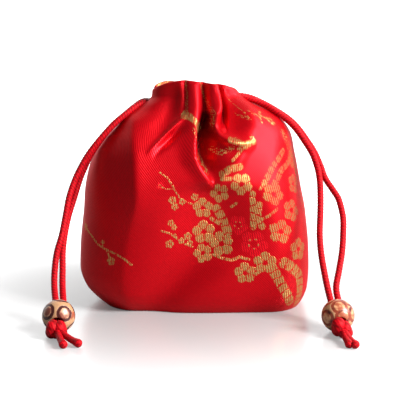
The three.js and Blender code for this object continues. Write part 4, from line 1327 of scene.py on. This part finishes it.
def area_light(name, place, target, size, power):
    """Rectangular lamp at a place, turned to a target."""
    lamp = bpy.data.lights.new(name, "AREA")
    lamp.shape = "RECTANGLE"
    lamp.size, lamp.size_y = size
    lamp.energy = power
    made = bpy.data.objects.new(name, lamp)
    made.location = place
    way = np.array(target) - np.array(place)
    tilt = np.arctan2(np.hypot(way[0], way[1]), -way[2])
    made.rotation_euler = (tilt, 0, np.arctan2(way[1], way[0]) - np.pi / 2)
    bpy.context.scene.collection.objects.link(made)


def stage_board(name, outline, material):
    """Flat four-cornered board that belongs to the stage."""
    mesh = bpy.data.meshes.new(name)
    mesh.from_pydata(outline, [], [(0, 1, 2, 3)])
    mesh.materials.append(material)
    board = bpy.data.objects.new(name, mesh)
    bpy.context.scene.collection.objects.link(board)


class GIFTBAG_OT_stage(bpy.types.Operator):
    """Build the floor, the soft studio light and the camera"""

    bl_idname = "giftbag.stage"
    bl_label = "Stage"

    def execute(self, context):
        settings = context.scene.giftbag_stage
        half = settings.floor / 2
        square = ((-1, -1), (1, -1), (1, 1), (-1, 1))
        stage_board("floor", [(half * x, half * y, 0) for x, y in square], floor_material())
        wide, back, high = BACKDROP_HALF_WIDTH, BACKDROP_BACK, BACKDROP_HEIGHT
        upright = [(-wide, back, 0), (wide, back, 0), (wide, back, high), (-wide, back, high)]
        stage_board("backdrop", upright, backdrop_material())
        area_light("key", KEY_PLACE, LIGHT_TARGET, KEY_SIZE, settings.key)
        area_light("right_strip", STRIP_PLACE, LIGHT_TARGET, STRIP_SIZE, settings.key * STRIP_SHARE)
        world = context.scene.world or bpy.data.worlds.new("studio")
        context.scene.world = world
        world.use_nodes = True
        tree = world.node_tree
        background = next(n for n in tree.nodes if n.type == "BACKGROUND")
        seen = put(tree, "ShaderNodeLightPath").outputs["Is Camera Ray"]
        strength = ramp(tree, seen, 0, 1, settings.fill, SKY_SEEN)
        set_inputs(background, {"Color": (1, 1, 1, 1), "Strength": strength})
        context.scene.view_settings.view_transform = "Standard"
        lens = bpy.data.cameras.new("camera")
        lens.lens, lens.sensor_width = settings.lens, SENSOR
        camera = bpy.data.objects.new("camera", lens)
        way = np.array([0, -np.cos(settings.elevation), np.sin(settings.elevation)])
        camera.location = CAMERA_AIM + CAMERA_AWAY * way
        camera.rotation_euler = (np.pi / 2 - settings.elevation, 0, 0)
        context.scene.collection.objects.link(camera)
        context.scene.camera = camera
        return {"FINISHED"}


class GIFTBAG_PT_panel(bpy.types.Panel):
    """Lists the pieces of the gift bag"""

    bl_idname = "GIFTBAG_PT_panel"
    bl_label = "Gift bag"
    bl_space_type = "VIEW_3D"
    bl_region_type = "UI"
    bl_category = "Gift bag"

    def draw(self, context):
        for operator in OPERATORS:
            self.layout.operator(operator.bl_idname)


OPERATORS = (GIFTBAG_OT_pouch, GIFTBAG_OT_beads, GIFTBAG_OT_knots, GIFTBAG_OT_cords, GIFTBAG_OT_stage)
SETTINGS = {
    "giftbag_pouch": PouchSettings,
    "giftbag_cord": CordSettings,
    "giftbag_bead": BeadSettings,
    "giftbag_stage": StageSettings,
}


def register():
    """Register the settings, operators and panel."""
    for name, group in SETTINGS.items():
        bpy.utils.register_class(group)
        setattr(bpy.types.Scene, name, bpy.props.PointerProperty(type=group))
    for item in (*OPERATORS, GIFTBAG_PT_panel):
        bpy.utils.register_class(item)


def unregister():
    """Remove what register added."""
    for item in (GIFTBAG_PT_panel, *reversed(OPERATORS)):
        bpy.utils.unregister_class(item)
    for name, group in SETTINGS.items():
        delattr(bpy.types.Scene, name)
        bpy.utils.unregister_class(group)


def main():
    """Build every piece in order."""
    register()
    bpy.ops.giftbag.pouch()
    bpy.ops.giftbag.beads()
    bpy.ops.giftbag.knots()
    bpy.ops.giftbag.cords()
    bpy.ops.giftbag.stage()


if __name__ == "__main__":
    main()
